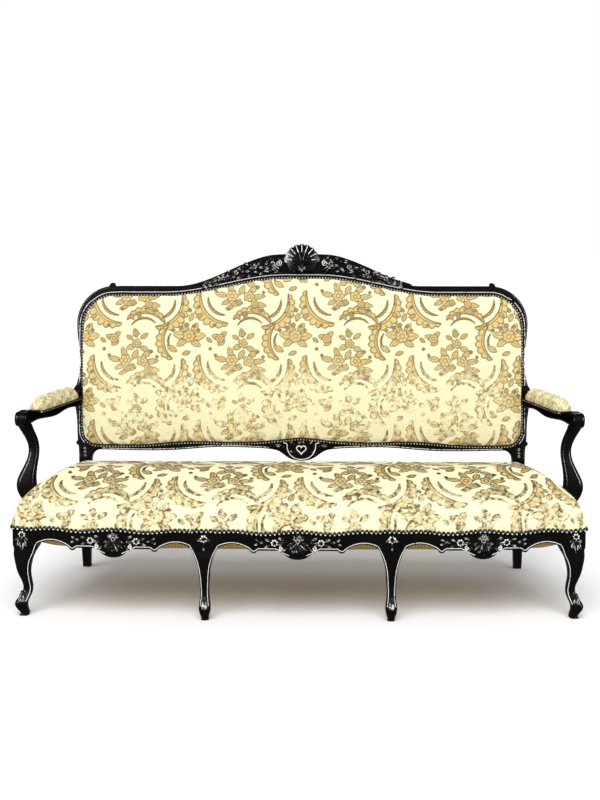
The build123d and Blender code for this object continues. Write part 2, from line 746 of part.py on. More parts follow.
with BuildPart() as seat_webbing:
    for x in columns:
        start = front_line(abs(x) + web_width / 2) + rail_thickness + soft_gap
        end = rear_rail_front - soft_gap
        with Locations((x, (start + end) / 2, brace_bottom - 1.5 * web_thickness)):
            Box(web_width, end - start, web_thickness)
    for y in spring_rows:
        with BuildSketch(Plane.XY.offset(brace_bottom - web_thickness)):
            with BuildLine():
                ends = (y - web_width / 2, y + web_width / 2)
                right_end = [(side_inner(at) - soft_gap, at) for at in ends]
                left_end = [(-x, at) for x, at in reversed(right_end)]
                Polyline(*right_end, *left_end, close=True)
            make_face()
        extrude(amount=web_thickness)
write(seat_webbing.part, "seat_webbing")

# Waisted seat springs, sealed in the upholstery: plain waisted sleeves stand for the coils.
with BuildPart() as springs:
    middle = (spring_base + spring_top) / 2
    outer = [(spring_radius, spring_base), (spring_waist, middle), (spring_radius, spring_top)]
    inner = [(r - spring_wall, z) for r, z in reversed(outer)]
    with BuildSketch(Plane.XZ):
        with BuildLine():
            Polyline(*outer, *inner, close=True)
        make_face()
    revolve(axis=Axis.Z)
with BuildPart() as seat_springs:
    for x in columns:
        for y in spring_rows:
            add(Pos(x, y, 0) * springs.part)
write(seat_springs.part, "seat_springs")


def seat_face(front_in, side_in, rear_in, z, corner=seat_corner):
    """Plan outline of the seat at a height, drawn in from the rails' outer faces."""
    y_rear = rear_reach - rear_in
    x_front = front_half
    for turn in range(6):
        x_front = side_line(front_line(x_front, front_in), side_in)
    y_front = front_line(x_front, front_in)
    x_rear = side_line(y_rear, side_in)
    with BuildSketch(Plane.XY.offset(z)) as outline:
        with BuildLine():
            ThreePointArc((-x_front, y_front), (0, -front_reach + front_in), (x_front, y_front))
            Polyline((x_front, y_front), (x_rear, y_rear), (-x_rear, y_rear), (-x_front, y_front))
        make_face()
        fillet(vertices(), corner)
    return outline.sketch


def seat_dome(inside, mode=Mode.ADD):
    """The seat's rounded body: drawn-in sides, a firm front edge and a crown; inside is how deep."""
    levels = []
    for step in range(7):
        turn = radians(step * 82 / 6)
        draw = (1 - cos(turn)) / (1 - cos(radians(82)))
        rise = (seat_crown - seat_base - (inside if step else 0)) * sin(turn) / sin(radians(82))
        front, flank, rear = [reach * draw - seat_swell + inside for reach in seat_draw]
        corner = seat_corner + (crown_corner - seat_corner) * draw
        levels.append(seat_face(front, flank, rear, seat_base + rise, corner))
    loft(levels, mode=mode)


def spring_space(inside, mode):
    """The hollow over the springs, drawn in and down by inside."""
    low = seat_face(48 + inside, 48 + inside, 48 + inside, seat_base)
    high = seat_face(95 + inside, 95 + inside, 95 + inside, cavity_top - inside)
    loft([low, high], ruled=True, mode=mode)


def clear_frame():
    """Notch the piece being built round the back posts and the arm supports."""
    for side in (-1, 1):
        corner = (Align.MIN if side > 0 else Align.MAX, Align.MIN, Align.MIN)
        with Locations((side * (post_inner - 2), post_front - 2, seat_base - 10)):
            Box(200, 200, 300, align=corner, mode=Mode.SUBTRACT)
        inner = side_line(support_y) - rail_thickness / 2 - 23
        middle = (Align.MIN if side > 0 else Align.MAX, Align.CENTER, Align.MIN)
        with Locations((side * inner, support_y - 1, seat_base - 10)):
            Box(200, 62, 300, align=middle, mode=Mode.SUBTRACT)


with BuildPart() as seat_canvas:
    spring_space(soft_gap, Mode.ADD)
    spring_space(soft_gap + cloth_thickness, Mode.SUBTRACT)
    clear_frame()
write(seat_canvas.part, "seat_canvas")

with BuildPart() as seat_stuffing:
    seat_dome(cover_thickness + soft_gap)
    spring_space(0, Mode.SUBTRACT)
    clear_frame()
write(seat_stuffing.part, "seat_stuffing")

with BuildPart() as seat_cover:
    seat_dome(0)
    seat_dome(cover_thickness, Mode.SUBTRACT)
    clear_frame()
write(seat_cover.part, "seat_cover")

# Dust cover tacked up under the webbing, hanging a little slack.
with BuildPart() as dust_cover:
    dust_top = brace_bottom - 2 * web_thickness - soft_gap
    for lift, mode in ((0, Mode.ADD), (cloth_thickness, Mode.SUBTRACT)):
        slack = [(66, dust_top), (120, dust_top - dust_slack * 0.7), (200, dust_top - dust_slack)]
        levels = [seat_face(inset, inset, inset, z + lift) for inset, z in reversed(slack)]
        loft(levels, mode=mode)
write(dust_cover.part, "seat_dust_cover")

# Back upholstery: webbing in the rebate, canvas, stuffing, and a cover on each side.
with BuildPart() as back_webbing:
    for x in (-540, -270, 0, 270, 540):
        low = 78 if x == 0 else 60
        high = min(sight_edge(x - web_width / 2), sight_edge(x + web_width / 2)) - 4
        with Locations(back_at(x, (low + high) / 2, -rebate_depth + web_thickness / 2)):
            Box(web_width, high - low, web_thickness)
    for v in (220, 400):
        with Locations(back_at(0, v, -rebate_depth + 1.5 * web_thickness)):
            Box(2 * sight_half - 10, web_width, web_thickness)
write(back_webbing.part, "back_webbing")

canvas_w = -rebate_depth + 2 * web_thickness
with BuildPart() as back_canvas:
    extrude(sight_face(2.5, canvas_w).sketch, amount=cloth_thickness)
write(back_canvas.part, "back_canvas")


def back_dome(inside, mode=Mode.ADD):
    """The back's rounded pad in its rebate; inside is how far under the cover's surface."""
    start = canvas_w + cloth_thickness + soft_gap
    steps = [(1, start), (3, 9), (18, 20), (60, 27), (125, back_crown)]
    levels = []
    for inset, w in steps:
        levels.append(sight_face(inset + inside, w - inside if w > start else w).sketch)
    loft(levels, mode=mode)


with BuildPart() as back_stuffing:
    back_dome(cover_thickness + soft_gap)
write(back_stuffing.part, "back_stuffing")

with BuildPart() as back_cover:
    back_dome(0)
    back_dome(cover_thickness, Mode.SUBTRACT)
write(back_cover.part, "back_cover")

with BuildPart() as outside_back:
    extrude(sight_face(rebate_width - 18, -back_thickness).sketch, amount=-cloth_thickness)
write(outside_back.part, "outside_back_cover")


def pad_section(y, width, height):
    """One cross-section of an arm pad: a flat base, swelling sides and a crown."""
    with BuildSketch(Plane(origin=(arm_x(y), y, arm_seat), x_dir=(1, 0, 0), z_dir=(0, -1, 0))) as section:
        with BuildLine():
            half = width / 2
            Line((-half, 0), (half, 0))
            ThreePointArc((half, 0), (half + 4, 0.45 * height), (0.64 * half, 0.88 * height))
            ThreePointArc((0.64 * half, 0.88 * height), (0, height), (-0.64 * half, 0.88 * height))
            ThreePointArc((-0.64 * half, 0.88 * height), (-half - 4, 0.45 * height), (-half, 0))
        make_face()
    return section.sketch


def arm_pad(inside, mode=Mode.ADD):
    """The whole pad of an arm; inside is how far under the cover's surface."""
    steps = [(arm_pad_front, 34, 0.6), (arm_pad_front + 26, 44, 0.95), (arm_pad_front + 140, 46, 1)]
    steps = steps + [(arm_pad_rear - 30, 44, 0.95), (arm_pad_rear, 36, 0.6)]
    levels = []
    for y, width, share in steps:
        at = min(max(y, arm_pad_front + inside), arm_pad_rear - inside)
        levels.append(pad_section(at, width - 2 * inside, arm_pad_height * share - inside))
    loft(levels, mode=mode)


with BuildPart() as pad_stuffing:
    arm_pad(cover_thickness + soft_gap)
write_pair(pad_stuffing.part, "arm_pad_stuffing")

with BuildPart() as pad_cover:
    arm_pad(0)
    arm_pad(cover_thickness, Mode.SUBTRACT)
write_pair(pad_cover.part, "arm_pad_cover")
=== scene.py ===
# %% [markdown]
# # Ebonised settee in cut-velvet damask
# The CAD model gives the joined wooden frame, and every piece of it is shown as it stands. This script
# gives the frame its black finish, adds the carving, the whitened bead lines and the nails, and makes the
# upholstery and linings as cloth in place of the plain CAD solids. Metres; +Z up; the front faces -Y.

# %% Frame and tools
from math import atan2, cos, pi, radians, sin

import bpy
import numpy as np
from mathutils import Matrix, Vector


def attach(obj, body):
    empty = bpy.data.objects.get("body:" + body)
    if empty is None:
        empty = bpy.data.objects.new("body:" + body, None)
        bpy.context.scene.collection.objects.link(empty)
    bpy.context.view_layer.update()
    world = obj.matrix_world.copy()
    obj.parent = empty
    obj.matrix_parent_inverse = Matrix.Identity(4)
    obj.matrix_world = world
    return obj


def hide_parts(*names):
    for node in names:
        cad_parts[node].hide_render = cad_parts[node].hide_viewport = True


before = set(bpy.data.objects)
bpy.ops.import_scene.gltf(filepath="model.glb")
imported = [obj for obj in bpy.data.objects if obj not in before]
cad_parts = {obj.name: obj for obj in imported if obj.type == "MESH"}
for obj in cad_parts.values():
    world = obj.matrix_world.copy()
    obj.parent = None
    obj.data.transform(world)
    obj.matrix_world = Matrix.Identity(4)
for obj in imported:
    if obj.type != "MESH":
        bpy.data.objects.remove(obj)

for leftover in ("Cube", "Light", "Camera"):
    if leftover in bpy.data.objects:
        bpy.data.objects.remove(bpy.data.objects[leftover])
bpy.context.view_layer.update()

# %% [markdown]
# ## Camera and light
# The photograph was taken from eye height about four and a half metres in front, with a long lens, on a
# white sweep. One broad soft sun and a white sky light everything evenly, so colours come out as written;
# three strip lights only draw highlights on the polished black wood, as softboxes do.

# %% Camera
EYE = Vector((0.086, -4.51, 1.26))
PITCH = radians(7.89)
YAW = atan2(EYE.x, -EYE.y)

bpy.ops.object.camera_add(location=EYE, rotation=(pi / 2 - PITCH, 0, YAW))
camera = bpy.context.object
camera.data.lens = 63
camera.data.sensor_width = 36
bpy.context.scene.camera = camera
bpy.context.scene.view_settings.view_transform = "Standard"
print("camera", [round(v, 3) for v in camera.location])


# %% Colours and shader nodes
def linear(code):
    """An sRGB hex colour as the linear values that a shader socket takes."""
    parts = [int(code[i : i + 2], 16) / 255 for i in (1, 3, 5)]
    return tuple([c / 12.92 if c <= 0.04045 else ((c + 0.055) / 1.055) ** 2.4 for c in parts] + [1.0])


def add_node(tree, kind, links=(), sockets=(), ramp=(), **settings):
    """Add a shader node: its settings, socket values, colour stops, and the nodes or outputs that feed it."""
    made = tree.nodes.new(kind)
    for name, value in settings.items():
        setattr(made, name, value)
    for name, value in dict(sockets).items():
        made.inputs[name].default_value = value
    for name, source in dict(links).items():
        output = source.outputs[0] if isinstance(source, bpy.types.Node) else source
        tree.links.new(output, made.inputs[name])
    for index, (place, code) in enumerate(ramp):
        made.color_ramp.elements[index].position = place
        made.color_ramp.elements[index].color = linear(code)
    return made


def new_material(name):
    """An empty material and its node tree."""
    material = bpy.data.materials.new(name)
    material.use_nodes = True
    material.node_tree.nodes.clear()
    return material, material.node_tree


# %% Light
def strip_light(name, place, turn, size, power):
    """A rectangular softbox that only draws highlights: metres, degrees and watts."""
    bpy.ops.object.light_add(type="AREA", location=place, rotation=[radians(a) for a in turn])
    lamp = bpy.context.object
    lamp.name = name
    lamp.data.shape = "RECTANGLE"
    lamp.data.size, lamp.data.size_y = size
    lamp.data.energy = power
    lamp.visible_diffuse = False


bpy.ops.object.light_add(type="SUN", rotation=(radians(38), radians(-4), 0))
sun = bpy.context.object
sun.data.energy = 2.65
sun.data.angle = radians(50)
sun.visible_glossy = False
strip_light("left_softbox", (-2.6, -2.6, 2.2), (58, 0, -45), (0.3, 2.4), 140)
strip_light("right_softbox", (2.8, -2.2, 2.0), (60, 0, 52), (0.25, 2.2), 110)
strip_light("rear_softbox", (0.4, 3.0, 2.4), (-62, 0, 4), (3.2, 0.14), 16)

world = bpy.data.worlds.new("white_sweep")
bpy.context.scene.world = world
world.use_nodes = True
sky = world.node_tree
sky.nodes.clear()
SEEN, FILL, IN_POLISH = 1.0, 0.48, 0.10  # white sky as the camera, matt surfaces and the polish meet it
ray = add_node(sky, "ShaderNodeLightPath").outputs
seen, fill, in_polish = [
    add_node(sky, "ShaderNodeBackground", sockets={"Color": (1, 1, 1, 1), "Strength": strength})
    for strength in (SEEN, FILL, IN_POLISH)
]
lit = add_node(sky, "ShaderNodeMixShader", {0: ray["Is Glossy Ray"], 1: fill, 2: in_polish})
shown_sky = add_node(sky, "ShaderNodeMixShader", {0: ray["Is Camera Ray"], 1: lit, 2: seen})
add_node(sky, "ShaderNodeOutputWorld", {"Surface": shown_sky})

# %% Floor
floor_paint, tree = new_material("matt_white_sweep")
speck = add_node(tree, "ShaderNodeTexNoise", sockets={"Scale": 2.0, "Detail": 2.0}).outputs["Fac"]
tone = add_node(tree, "ShaderNodeValToRGB", {"Fac": speck}, ramp=((0, "#FBFBFB"), (1, "#FFFFFF")))
paint = add_node(tree, "ShaderNodeBsdfDiffuse", {"Color": tone})
add_node(tree, "ShaderNodeOutputMaterial", {"Surface": paint})

bpy.ops.mesh.primitive_plane_add(size=60)
floor = bpy.context.object
floor.name = "floor"
floor.data.materials.append(floor_paint)
floor.visible_glossy = False
print("floor", round(floor.dimensions.x), "m")

# %% [markdown]
# ## Finishes of the frame
# The show wood is beech, stained and polished black. The carving and the beads were whitened and rubbed
# back, so white stays on the high places; that white also serves as painted highlight on crowns and edges.
# The hidden frame is bare beech, the linings are jute and calico.


# %% Show wood
MM = 0.001


def mottle(tree, size, detail=3.0, stretch=(1, 1, 1)):
    """An uneven pattern, fixed to the piece, with patches of a real size in millimetres."""
    where = add_node(tree, "ShaderNodeTexCoord").outputs["Object"]
    placed = add_node(tree, "ShaderNodeMapping", {"Vector": where}, {"Scale": stretch})
    patches = {"Scale": 1 / (size * MM), "Detail": detail}
    return add_node(tree, "ShaderNodeTexNoise", {"Vector": placed}, patches).outputs["Fac"]


def ebonised_wood():
    """Black-stained beech under French polish: a brown cast in places and faint open grain."""
    material, tree = new_material("ebonised_wood")
    cast = add_node(tree, "ShaderNodeValToRGB", {"Fac": mottle(tree, 111.1)},
                    ramp=((0.42, "#040303"), (0.72, "#0D0705")))
    grain = mottle(tree, 16.67, 5, (1, 1, 6))
    gloss = add_node(tree, "ShaderNodeMapRange", {"Value": grain},
                     {"From Min": 0.3, "From Max": 0.7, "To Min": 0.2, "To Max": 0.34})
    pores = add_node(tree, "ShaderNodeBump", {"Height": grain}, {"Strength": 0.04, "Distance": 1 * MM})
    polish = add_node(tree, "ShaderNodeBsdfPrincipled",
                      {"Base Color": cast, "Roughness": gloss, "Normal": pores},
                      {"Coat Weight": 0.2, "Coat Roughness": 0.08, "Specular IOR Level": 0.3})
    add_node(tree, "ShaderNodeOutputMaterial", {"Surface": polish})
    return material


def whitening_and_highlight():
    """Carving whitened and rubbed back: white on the crowns (the rub attribute), black in the hollows; the
    white is also painted highlight on the crowns.
    """
    material, tree = new_material("whitening_and_highlight_on_black")
    crown = add_node(tree, "ShaderNodeAttribute", attribute_name="rub_and_highlight").outputs["Fac"]
    wear_and_sheen = add_node(tree, "ShaderNodeMath", {0: crown, 1: mottle(tree, 7.692)}, operation="MULTIPLY")
    colour = add_node(tree, "ShaderNodeValToRGB", {"Fac": wear_and_sheen}, ramp=((0.31, "#060504"), (0.40, "#F4F1EA")))
    polish = add_node(tree, "ShaderNodeBsdfPrincipled", {"Base Color": colour},
                      {"Roughness": 0.32, "Coat Weight": 0.2})
    add_node(tree, "ShaderNodeOutputMaterial", {"Surface": polish})
    return material


white_rub_and_highlight = whitening_and_highlight()
print("whitened finish", white_rub_and_highlight.name)


# %% Hidden wood, linings, hair and springs
THREAD = 10.05 * MM  # from thread to thread as drawn: real threads, about 1 mm apart, would not show
MIDDLE = (0.35, 0.65)  # the stretch of a pattern over which two tones blend


def bare_beech():
    """Planed beech, never polished: pale brown with long grain."""
    material, tree = new_material("bare_beech")
    grain = mottle(tree, 71.43, 6, (1, 9, 9))
    colour = add_node(tree, "ShaderNodeValToRGB", {"Fac": grain}, ramp=zip(MIDDLE, ("#8A6238", "#B98F5C")))
    rough = add_node(tree, "ShaderNodeBump", {"Height": grain}, {"Strength": 0.15, "Distance": 1 * MM})
    wood = add_node(tree, "ShaderNodeBsdfPrincipled", {"Base Color": colour, "Normal": rough},
                    {"Roughness": 0.7})
    add_node(tree, "ShaderNodeOutputMaterial", {"Surface": wood})
    return material


def woven(name, dark, light):
    """A plain weave in two tones, with uneven threads, for linings, canvas and webbing."""
    material, tree = new_material(name)
    where = add_node(tree, "ShaderNodeTexCoord").outputs["Object"]
    threads = {"Scale": pi / 10 / THREAD, "Distortion": 0.6, "Detail": 1.0}  # a band is pi / 10 wide at scale 1
    warp, weft = [
        add_node(tree, "ShaderNodeTexWave", {"Vector": where}, threads, bands_direction=axis).outputs["Fac"]
        for axis in ("X", "Z")
    ]
    cross = add_node(tree, "ShaderNodeMath", {0: warp, 1: weft}, operation="MAXIMUM")
    slub = add_node(tree, "ShaderNodeMath", {0: cross, 1: mottle(tree, 11.11)}, operation="MULTIPLY")
    colour = add_node(tree, "ShaderNodeValToRGB", {"Fac": slub}, ramp=((0.15, dark), (0.6, light)))
    relief = add_node(tree, "ShaderNodeBump", {"Height": cross}, {"Strength": 0.25, "Distance": 0.6 * MM})
    cloth = add_node(tree, "ShaderNodeBsdfPrincipled", {"Base Color": colour, "Normal": relief},
                     {"Roughness": 0.9})
    add_node(tree, "ShaderNodeOutputMaterial", {"Surface": cloth})
    return material


def curled_hair():
    """Curled hair and fibre, tangled, grey-brown."""
    material, tree = new_material("curled_hair")
    tangle = mottle(tree, 6.25, 6)
    colour = add_node(tree, "ShaderNodeValToRGB", {"Fac": tangle}, ramp=zip(MIDDLE, ("#3A2C20", "#8C7658")))
    relief = add_node(tree, "ShaderNodeBump", {"Height": tangle}, {"Strength": 0.6, "Distance": 3 * MM})
    hair = add_node(tree, "ShaderNodeBsdfPrincipled", {"Base Color": colour, "Normal": relief},
                    {"Roughness": 0.95})
    add_node(tree, "ShaderNodeOutputMaterial", {"Surface": hair})
    return material


def spring_steel():
    """Tarnished steel wire: two greys in small patches."""
    material, tree = new_material("spring_steel")
    colour = add_node(tree, "ShaderNodeValToRGB", {"Fac": mottle(tree, 6.667)},
                      ramp=zip(MIDDLE, ("#3A3A3C", "#77777A")))
    steel = add_node(tree, "ShaderNodeBsdfPrincipled", {"Base Color": colour},
                     {"Metallic": 1.0, "Roughness": 0.4})
    add_node(tree, "ShaderNodeOutputMaterial", {"Surface": steel})
    return material


# %% Finishes on the frame
finish = {
    "ebonised_wood": ebonised_wood(),
    "bare_wood": bare_beech(),
    "canvas": woven("jute_canvas", "#6E5836", "#A88C5C"),
    "lining": woven("tan_calico", "#80642E", "#B29458"),
    "stuffing": curled_hair(),
    "steel": spring_steel(),
}
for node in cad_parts.values():
    for material_slot in node.material_slots:
        kind = material_slot.material.name
        if kind in finish:
            material_slot.material = finish[kind]
print("finishes", sorted(finish))

# %% [markdown]
# ## The frame's lines
# Carving, beads and nails follow the frame, so its lines are repeated here: the bowed front rail, the
# splayed sides, the leaning back with its curved sight edge, and the legs' profiles.

# %% Sizes of the frame
FRONT_HALF = 878 * MM
FRONT_REACH = 362 * MM
REAR_REACH = 273 * MM
BOW = 46 * MM
LEG_PROUD = 6 * MM
CORNER_HEAD = 75 * MM
POST_INNER, POST_OUTER, POST_FRONT = 725 * MM, 768 * MM, 229 * MM
FRAME_TOP = 290 * MM
RAIL_TOP, RAIL_WAVE, WAVE_LENGTH = 285 * MM, 4 * MM, 200 * MM
INNER_LEG, INNER_HEAD = 286 * MM, 82 * MM
LEAN, BACK_FACE, LEAN_START = radians(8.5), 235 * MM, 400 * MM
SIGHT_HALF, SIGHT_TOP, SIGHT_LOW = 753 * MM, 559 * MM, 46 * MM
SIGHT_CORNER, SIGHT_LOW_CORNER, LEAST_CORNER = 106 * MM, 50 * MM, 14 * MM
LOW_WAVE = ((0, 0.027), (0.13, 0.014), (0.29, 0.007), (0.56, 0.013), (0.78, -0.002), (1.0, 0))  # sight's foot
SIGHT_RISE, SIGHT_RISE_END, SIGHT_RISE_RUN = 60 * MM, 470 * MM, 410 * MM
CREST_LOW, CREST_RISE, CREST_RISE_END, CREST_RISE_RUN = 594 * MM, 110 * MM, 430 * MM, 360 * MM
CARTOUCHE_LOW, CARTOUCHE_END = 194 * MM, 66 * MM
ARCH_LOW, BUD_DEPTH, EAR_RISE, EAR_FALL = 222 * MM, 8 * MM, 65.4 * MM, 58.4 * MM
BUD_FROM, BUD_TO = 122 * MM, 100 * MM  # the bud on a rail's lower edge, from the end of its bay
SUPPORT_Y = -185 * MM
SEAT_SWELL = 3 * MM  # how far the seat's cover stands outside the rails
CLOTH = 1.4 * MM
NAIL_DROP = 6 * MM  # of the nails below the frame's upper edge
BOW_RADIUS = (FRONT_HALF**2 + BOW**2) / (2 * BOW)
BAY_CENTRE = (INNER_LEG + INNER_HEAD / 2 + FRONT_HALF - CORNER_HEAD) / 2
CENTRE_BAY = INNER_LEG - INNER_HEAD / 2
SIDE_BAY = FRONT_HALF - CORNER_HEAD - BAY_CENTRE
print("bay centre", round(BAY_CENTRE, 4), "half bays", round(CENTRE_BAY, 4), round(SIDE_BAY, 4))


# %% Plan of the seat frame
def ease(t):
    """A smooth step from 0 to 1."""
    t = np.clip(t, 0.0, 1.0)
    return t * t * (3 - 2 * t)


def front_y(x):
    """Plan position of the front rail's face."""
    return -FRONT_REACH + BOW_RADIUS - np.sqrt(BOW_RADIUS**2 - np.square(x))


CORNER_FRONT = front_y(FRONT_HALF - CORNER_HEAD / 2) - LEG_PROUD
INNER_FRONT = front_y(INNER_LEG) - LEG_PROUD


def side_x(y):
    """Plan position of the side rail's outer edge."""
    share = (y - CORNER_FRONT) / (POST_FRONT - CORNER_FRONT)
    return FRONT_HALF + (POST_OUTER - MM - FRONT_HALF) * share


print("front corner at", round(float(CORNER_FRONT), 4), "inner leg at", round(float(INNER_FRONT), 4))


# %% Faces of the back and the front rails
def crest_edge(x):
    """Upper edge of the crest, up the lean."""
    return CREST_LOW + CREST_RISE * ease((CREST_RISE_END - np.abs(x)) / CREST_RISE_RUN)


def sight_edge(x):
    """Upper edge of the back upholstery, up the lean."""
    return SIGHT_TOP + SIGHT_RISE * ease((SIGHT_RISE_END - np.abs(x)) / SIGHT_RISE_RUN)


def on_back(x, v, w):
    """A place on the leaning back: x across, v up the lean, w forward of its face."""
    return np.stack(np.broadcast_arrays(
        x, BACK_FACE + v * sin(LEAN) - w * cos(LEAN), LEAN_START + v * cos(LEAN) + w * sin(LEAN)), axis=-1)


def laid_back(points, w):
    """Flat points, x and v, laid on the leaning back."""
    return on_back(points[..., 0], points[..., 1], w)


def on_front(x, z, out):
    """A place on the front rail's face: x across, z up, out towards the viewer."""
    return np.stack(np.broadcast_arrays(x, front_y(x) - out, z), axis=-1)


# %% Front hem and the rails' lower edge
def hem_line(x):
    """Height of the front nail line, riding the rail's wavy edge and the leg heads."""
    reach = np.abs(x)
    bay = np.where(reach < INNER_LEG, reach, reach - BAY_CENTRE)
    wave = RAIL_TOP + RAIL_WAVE * np.cos(2 * pi * bay / WAVE_LENGTH)
    over_leg = np.maximum(1 - np.abs(reach - INNER_LEG) / (INNER_HEAD * 0.7), 0)
    over_corner = np.maximum(1 - (FRONT_HALF - reach) / CORNER_HEAD, 0)
    return wave + (FRAME_TOP - wave) * np.maximum(ease(over_leg * 1.6), ease(over_corner)) - NAIL_DROP


def front_edge(x):
    """Plan position of the seat cover's front."""
    return front_y(x) - SEAT_SWELL


def hem_y(x):
    """Plan position of the front hem, which passes over the proud leg heads."""
    reach = np.abs(x)
    over_inner = np.abs(reach - INNER_LEG) < INNER_HEAD / 2 + 3 * MM
    over_corner = reach > FRONT_HALF - CORNER_HEAD - 3 * MM
    outside_inner = np.where(over_corner, CORNER_FRONT - CLOTH, front_edge(x))
    return np.where(over_inner, INNER_FRONT - CLOTH, outside_inner)


def lower_edge(bay_x, half):
    """Height of the front rail's lower edge, at a distance from the middle of its bay."""
    u = abs(bay_x)
    bud_start, bud_end = half - BUD_FROM, half - BUD_TO
    if u < CARTOUCHE_END:
        return CARTOUCHE_LOW + (ARCH_LOW - CARTOUCHE_LOW) * (u / CARTOUCHE_END) ** 1.5
    if u < bud_start:
        return ARCH_LOW
    if u < bud_end:
        return ARCH_LOW - BUD_DEPTH * sin(pi * (u - bud_start) / (bud_end - bud_start))
    t = (u - bud_end) / BUD_TO
    return ARCH_LOW + t * EAR_RISE - t * t * EAR_FALL


# %% Sight edge of the back
def eighth(centre, radius, start):
    """An eighth of a circle, clockwise from an angle off the vertical."""
    angle = start + np.linspace(0, pi / 4, 8)
    return np.stack([centre[0] + radius * np.sin(angle), centre[1] + radius * np.cos(angle)], 1)


def sight_outline(inset):
    """Sight edge drawn in by an inset: runs of points for top, right, bottom and left, with corners."""
    low = SIGHT_LOW + inset
    top_round, low_round = [max(corner - inset, LEAST_CORNER) for corner in (SIGHT_CORNER, SIGHT_LOW_CORNER)]
    top_at = (SIGHT_HALF - inset - top_round, SIGHT_TOP - inset - top_round)
    low_at = (SIGHT_HALF - inset - low_round, low + low_round)
    xs, spread = np.linspace(-1, 1, 120), np.linspace(0, 1, 60)
    wave = np.pad(np.interp(spread, *np.array(LOW_WAVE).T), 6, mode="edge")
    wave = np.convolve(wave, np.ones(13) / 13, "valid")
    top = np.stack([xs * top_at[0], sight_edge(xs * top_at[0]) - inset], 1)
    bottom = np.stack([xs * low_at[0], low + np.interp(np.abs(xs), spread, wave)], 1)
    turn_top, turn_side = eighth(top_at, top_round, 0), eighth(top_at, top_round, pi / 4)
    turn_low, turn_base = eighth(low_at, low_round, pi / 2), eighth(low_at, low_round, 3 * pi / 4)
    flip = np.array([-1, 1])
    right = np.concatenate([turn_side, turn_low])
    top_run = np.concatenate([(turn_top * flip)[::-1], top[1:-1], turn_top])
    base_run = np.concatenate([turn_base, bottom[::-1][1:-1], (turn_base * flip)[::-1]])
    return top_run, right, base_run, (right * flip)[::-1]


def along(points, count):
    """A run of points resampled at equal steps."""
    points = np.asarray(points, float)
    walked = np.concatenate([[0], np.cumsum(np.linalg.norm(np.diff(points, axis=0), axis=1))])
    at = np.linspace(0, walked[-1], count)
    return np.stack([np.interp(at, walked, points[:, k]) for k in range(points.shape[1])], 1)


# %% Profiles of the legs
# Height, width and set-back of their fronts, from the head down
inner_leg_steps = np.array([(226, 82, 0), (206, 62, -2), (182, 46, -3), (150, 35, 3), (110, 30, 12),
                            (82, 28, 14), (48, 35, 1), (22, 31, 4), (0, 24, 9)]) * MM
corner_leg_steps = np.array([(226, 75, 0), (204, 66, 1), (180, 54, 2), (148, 42, 7), (110, 31, 19),
                             (82, 29, 23), (48, 38, 3), (22, 33, 6), (0, 27, 11)]) * MM
print("leg profiles", len(inner_leg_steps), len(corner_leg_steps), "steps")


# %% Reading and moving vertices
def select_only(obj):
    """Make one object the only selected and active one."""
    bpy.ops.object.select_all(action="DESELECT")
    obj.select_set(True)
    bpy.context.view_layer.objects.active = obj


def coordinates(obj):
    """Vertex places of a mesh as an array."""
    places = np.empty(len(obj.data.vertices) * 3)
    obj.data.vertices.foreach_get("co", places)
    return places.reshape(-1, 3)


def set_coordinates(obj, places):
    """Move every vertex of a mesh."""
    obj.data.vertices.foreach_set("co", np.asarray(places, float).ravel())
    obj.data.update()


def set_attribute(obj, name, values):
    """Store one number per vertex for a material to read."""
    layer = obj.data.attributes.get(name) or obj.data.attributes.new(name, "FLOAT", "POINT")
    layer.data.foreach_set("value", np.asarray(values, np.float32).ravel())


# %% Rims and faces
def edit_rim(obj):
    """Open a mesh for editing, with its open rim selected."""
    select_only(obj)
    bpy.ops.object.mode_set(mode="EDIT")
    bpy.ops.mesh.select_all(action="DESELECT")
    bpy.ops.mesh.select_mode(type="EDGE")
    bpy.ops.mesh.select_non_manifold(extend=False)


def extrude_rim(obj):
    """Extrude the open rim of a mesh in place; which vertices are the new rim."""
    edit_rim(obj)
    bpy.ops.mesh.extrude_edges_move()
    bpy.ops.object.mode_set(mode="OBJECT")
    return np.array([vertex.select for vertex in obj.data.vertices])


def face_out():
    """Turn the faces of the mesh in editing outwards, and end the editing."""
    bpy.ops.mesh.select_all(action="SELECT")
    bpy.ops.mesh.normals_make_consistent(inside=False)
    bpy.ops.object.mode_set(mode="OBJECT")


def close_and_face_out(obj):
    """Fill the open rim of a mesh and turn its faces outwards."""
    edit_rim(obj)
    bpy.ops.mesh.edge_face_add()
    face_out()
    return obj


# %% Finishing a piece
def smooth(obj):
    """Shade a piece smooth."""
    select_only(obj)
    bpy.ops.object.shade_smooth()


def hand_over(obj, material):
    """Give a finished piece its material and the body it rides on."""
    obj.data.materials.clear()
    obj.data.materials.append(material)
    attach(obj, "root")
    return obj


def join(name, parts):
    """Join parts into one object."""
    select_only(parts[0])
    for part in parts[1:]:
        part.select_set(True)
    bpy.ops.object.join()
    made = bpy.context.object
    made.name = made.data.name = name
    return made


# %% [markdown]
# ## Damask
# The cover is a cut velvet: gold pile stands on a cream ground, with a darker edge round every figure. Each
# repeat is a bowl of two scalloped feathers with an arched one between them and one falling to its right, a
# bouquet in the bowl and a spray at the side. An image would fix its size, so the figure is worked out from
# arcs, leaves and blooms on the flat cloth and kept on the vertices.

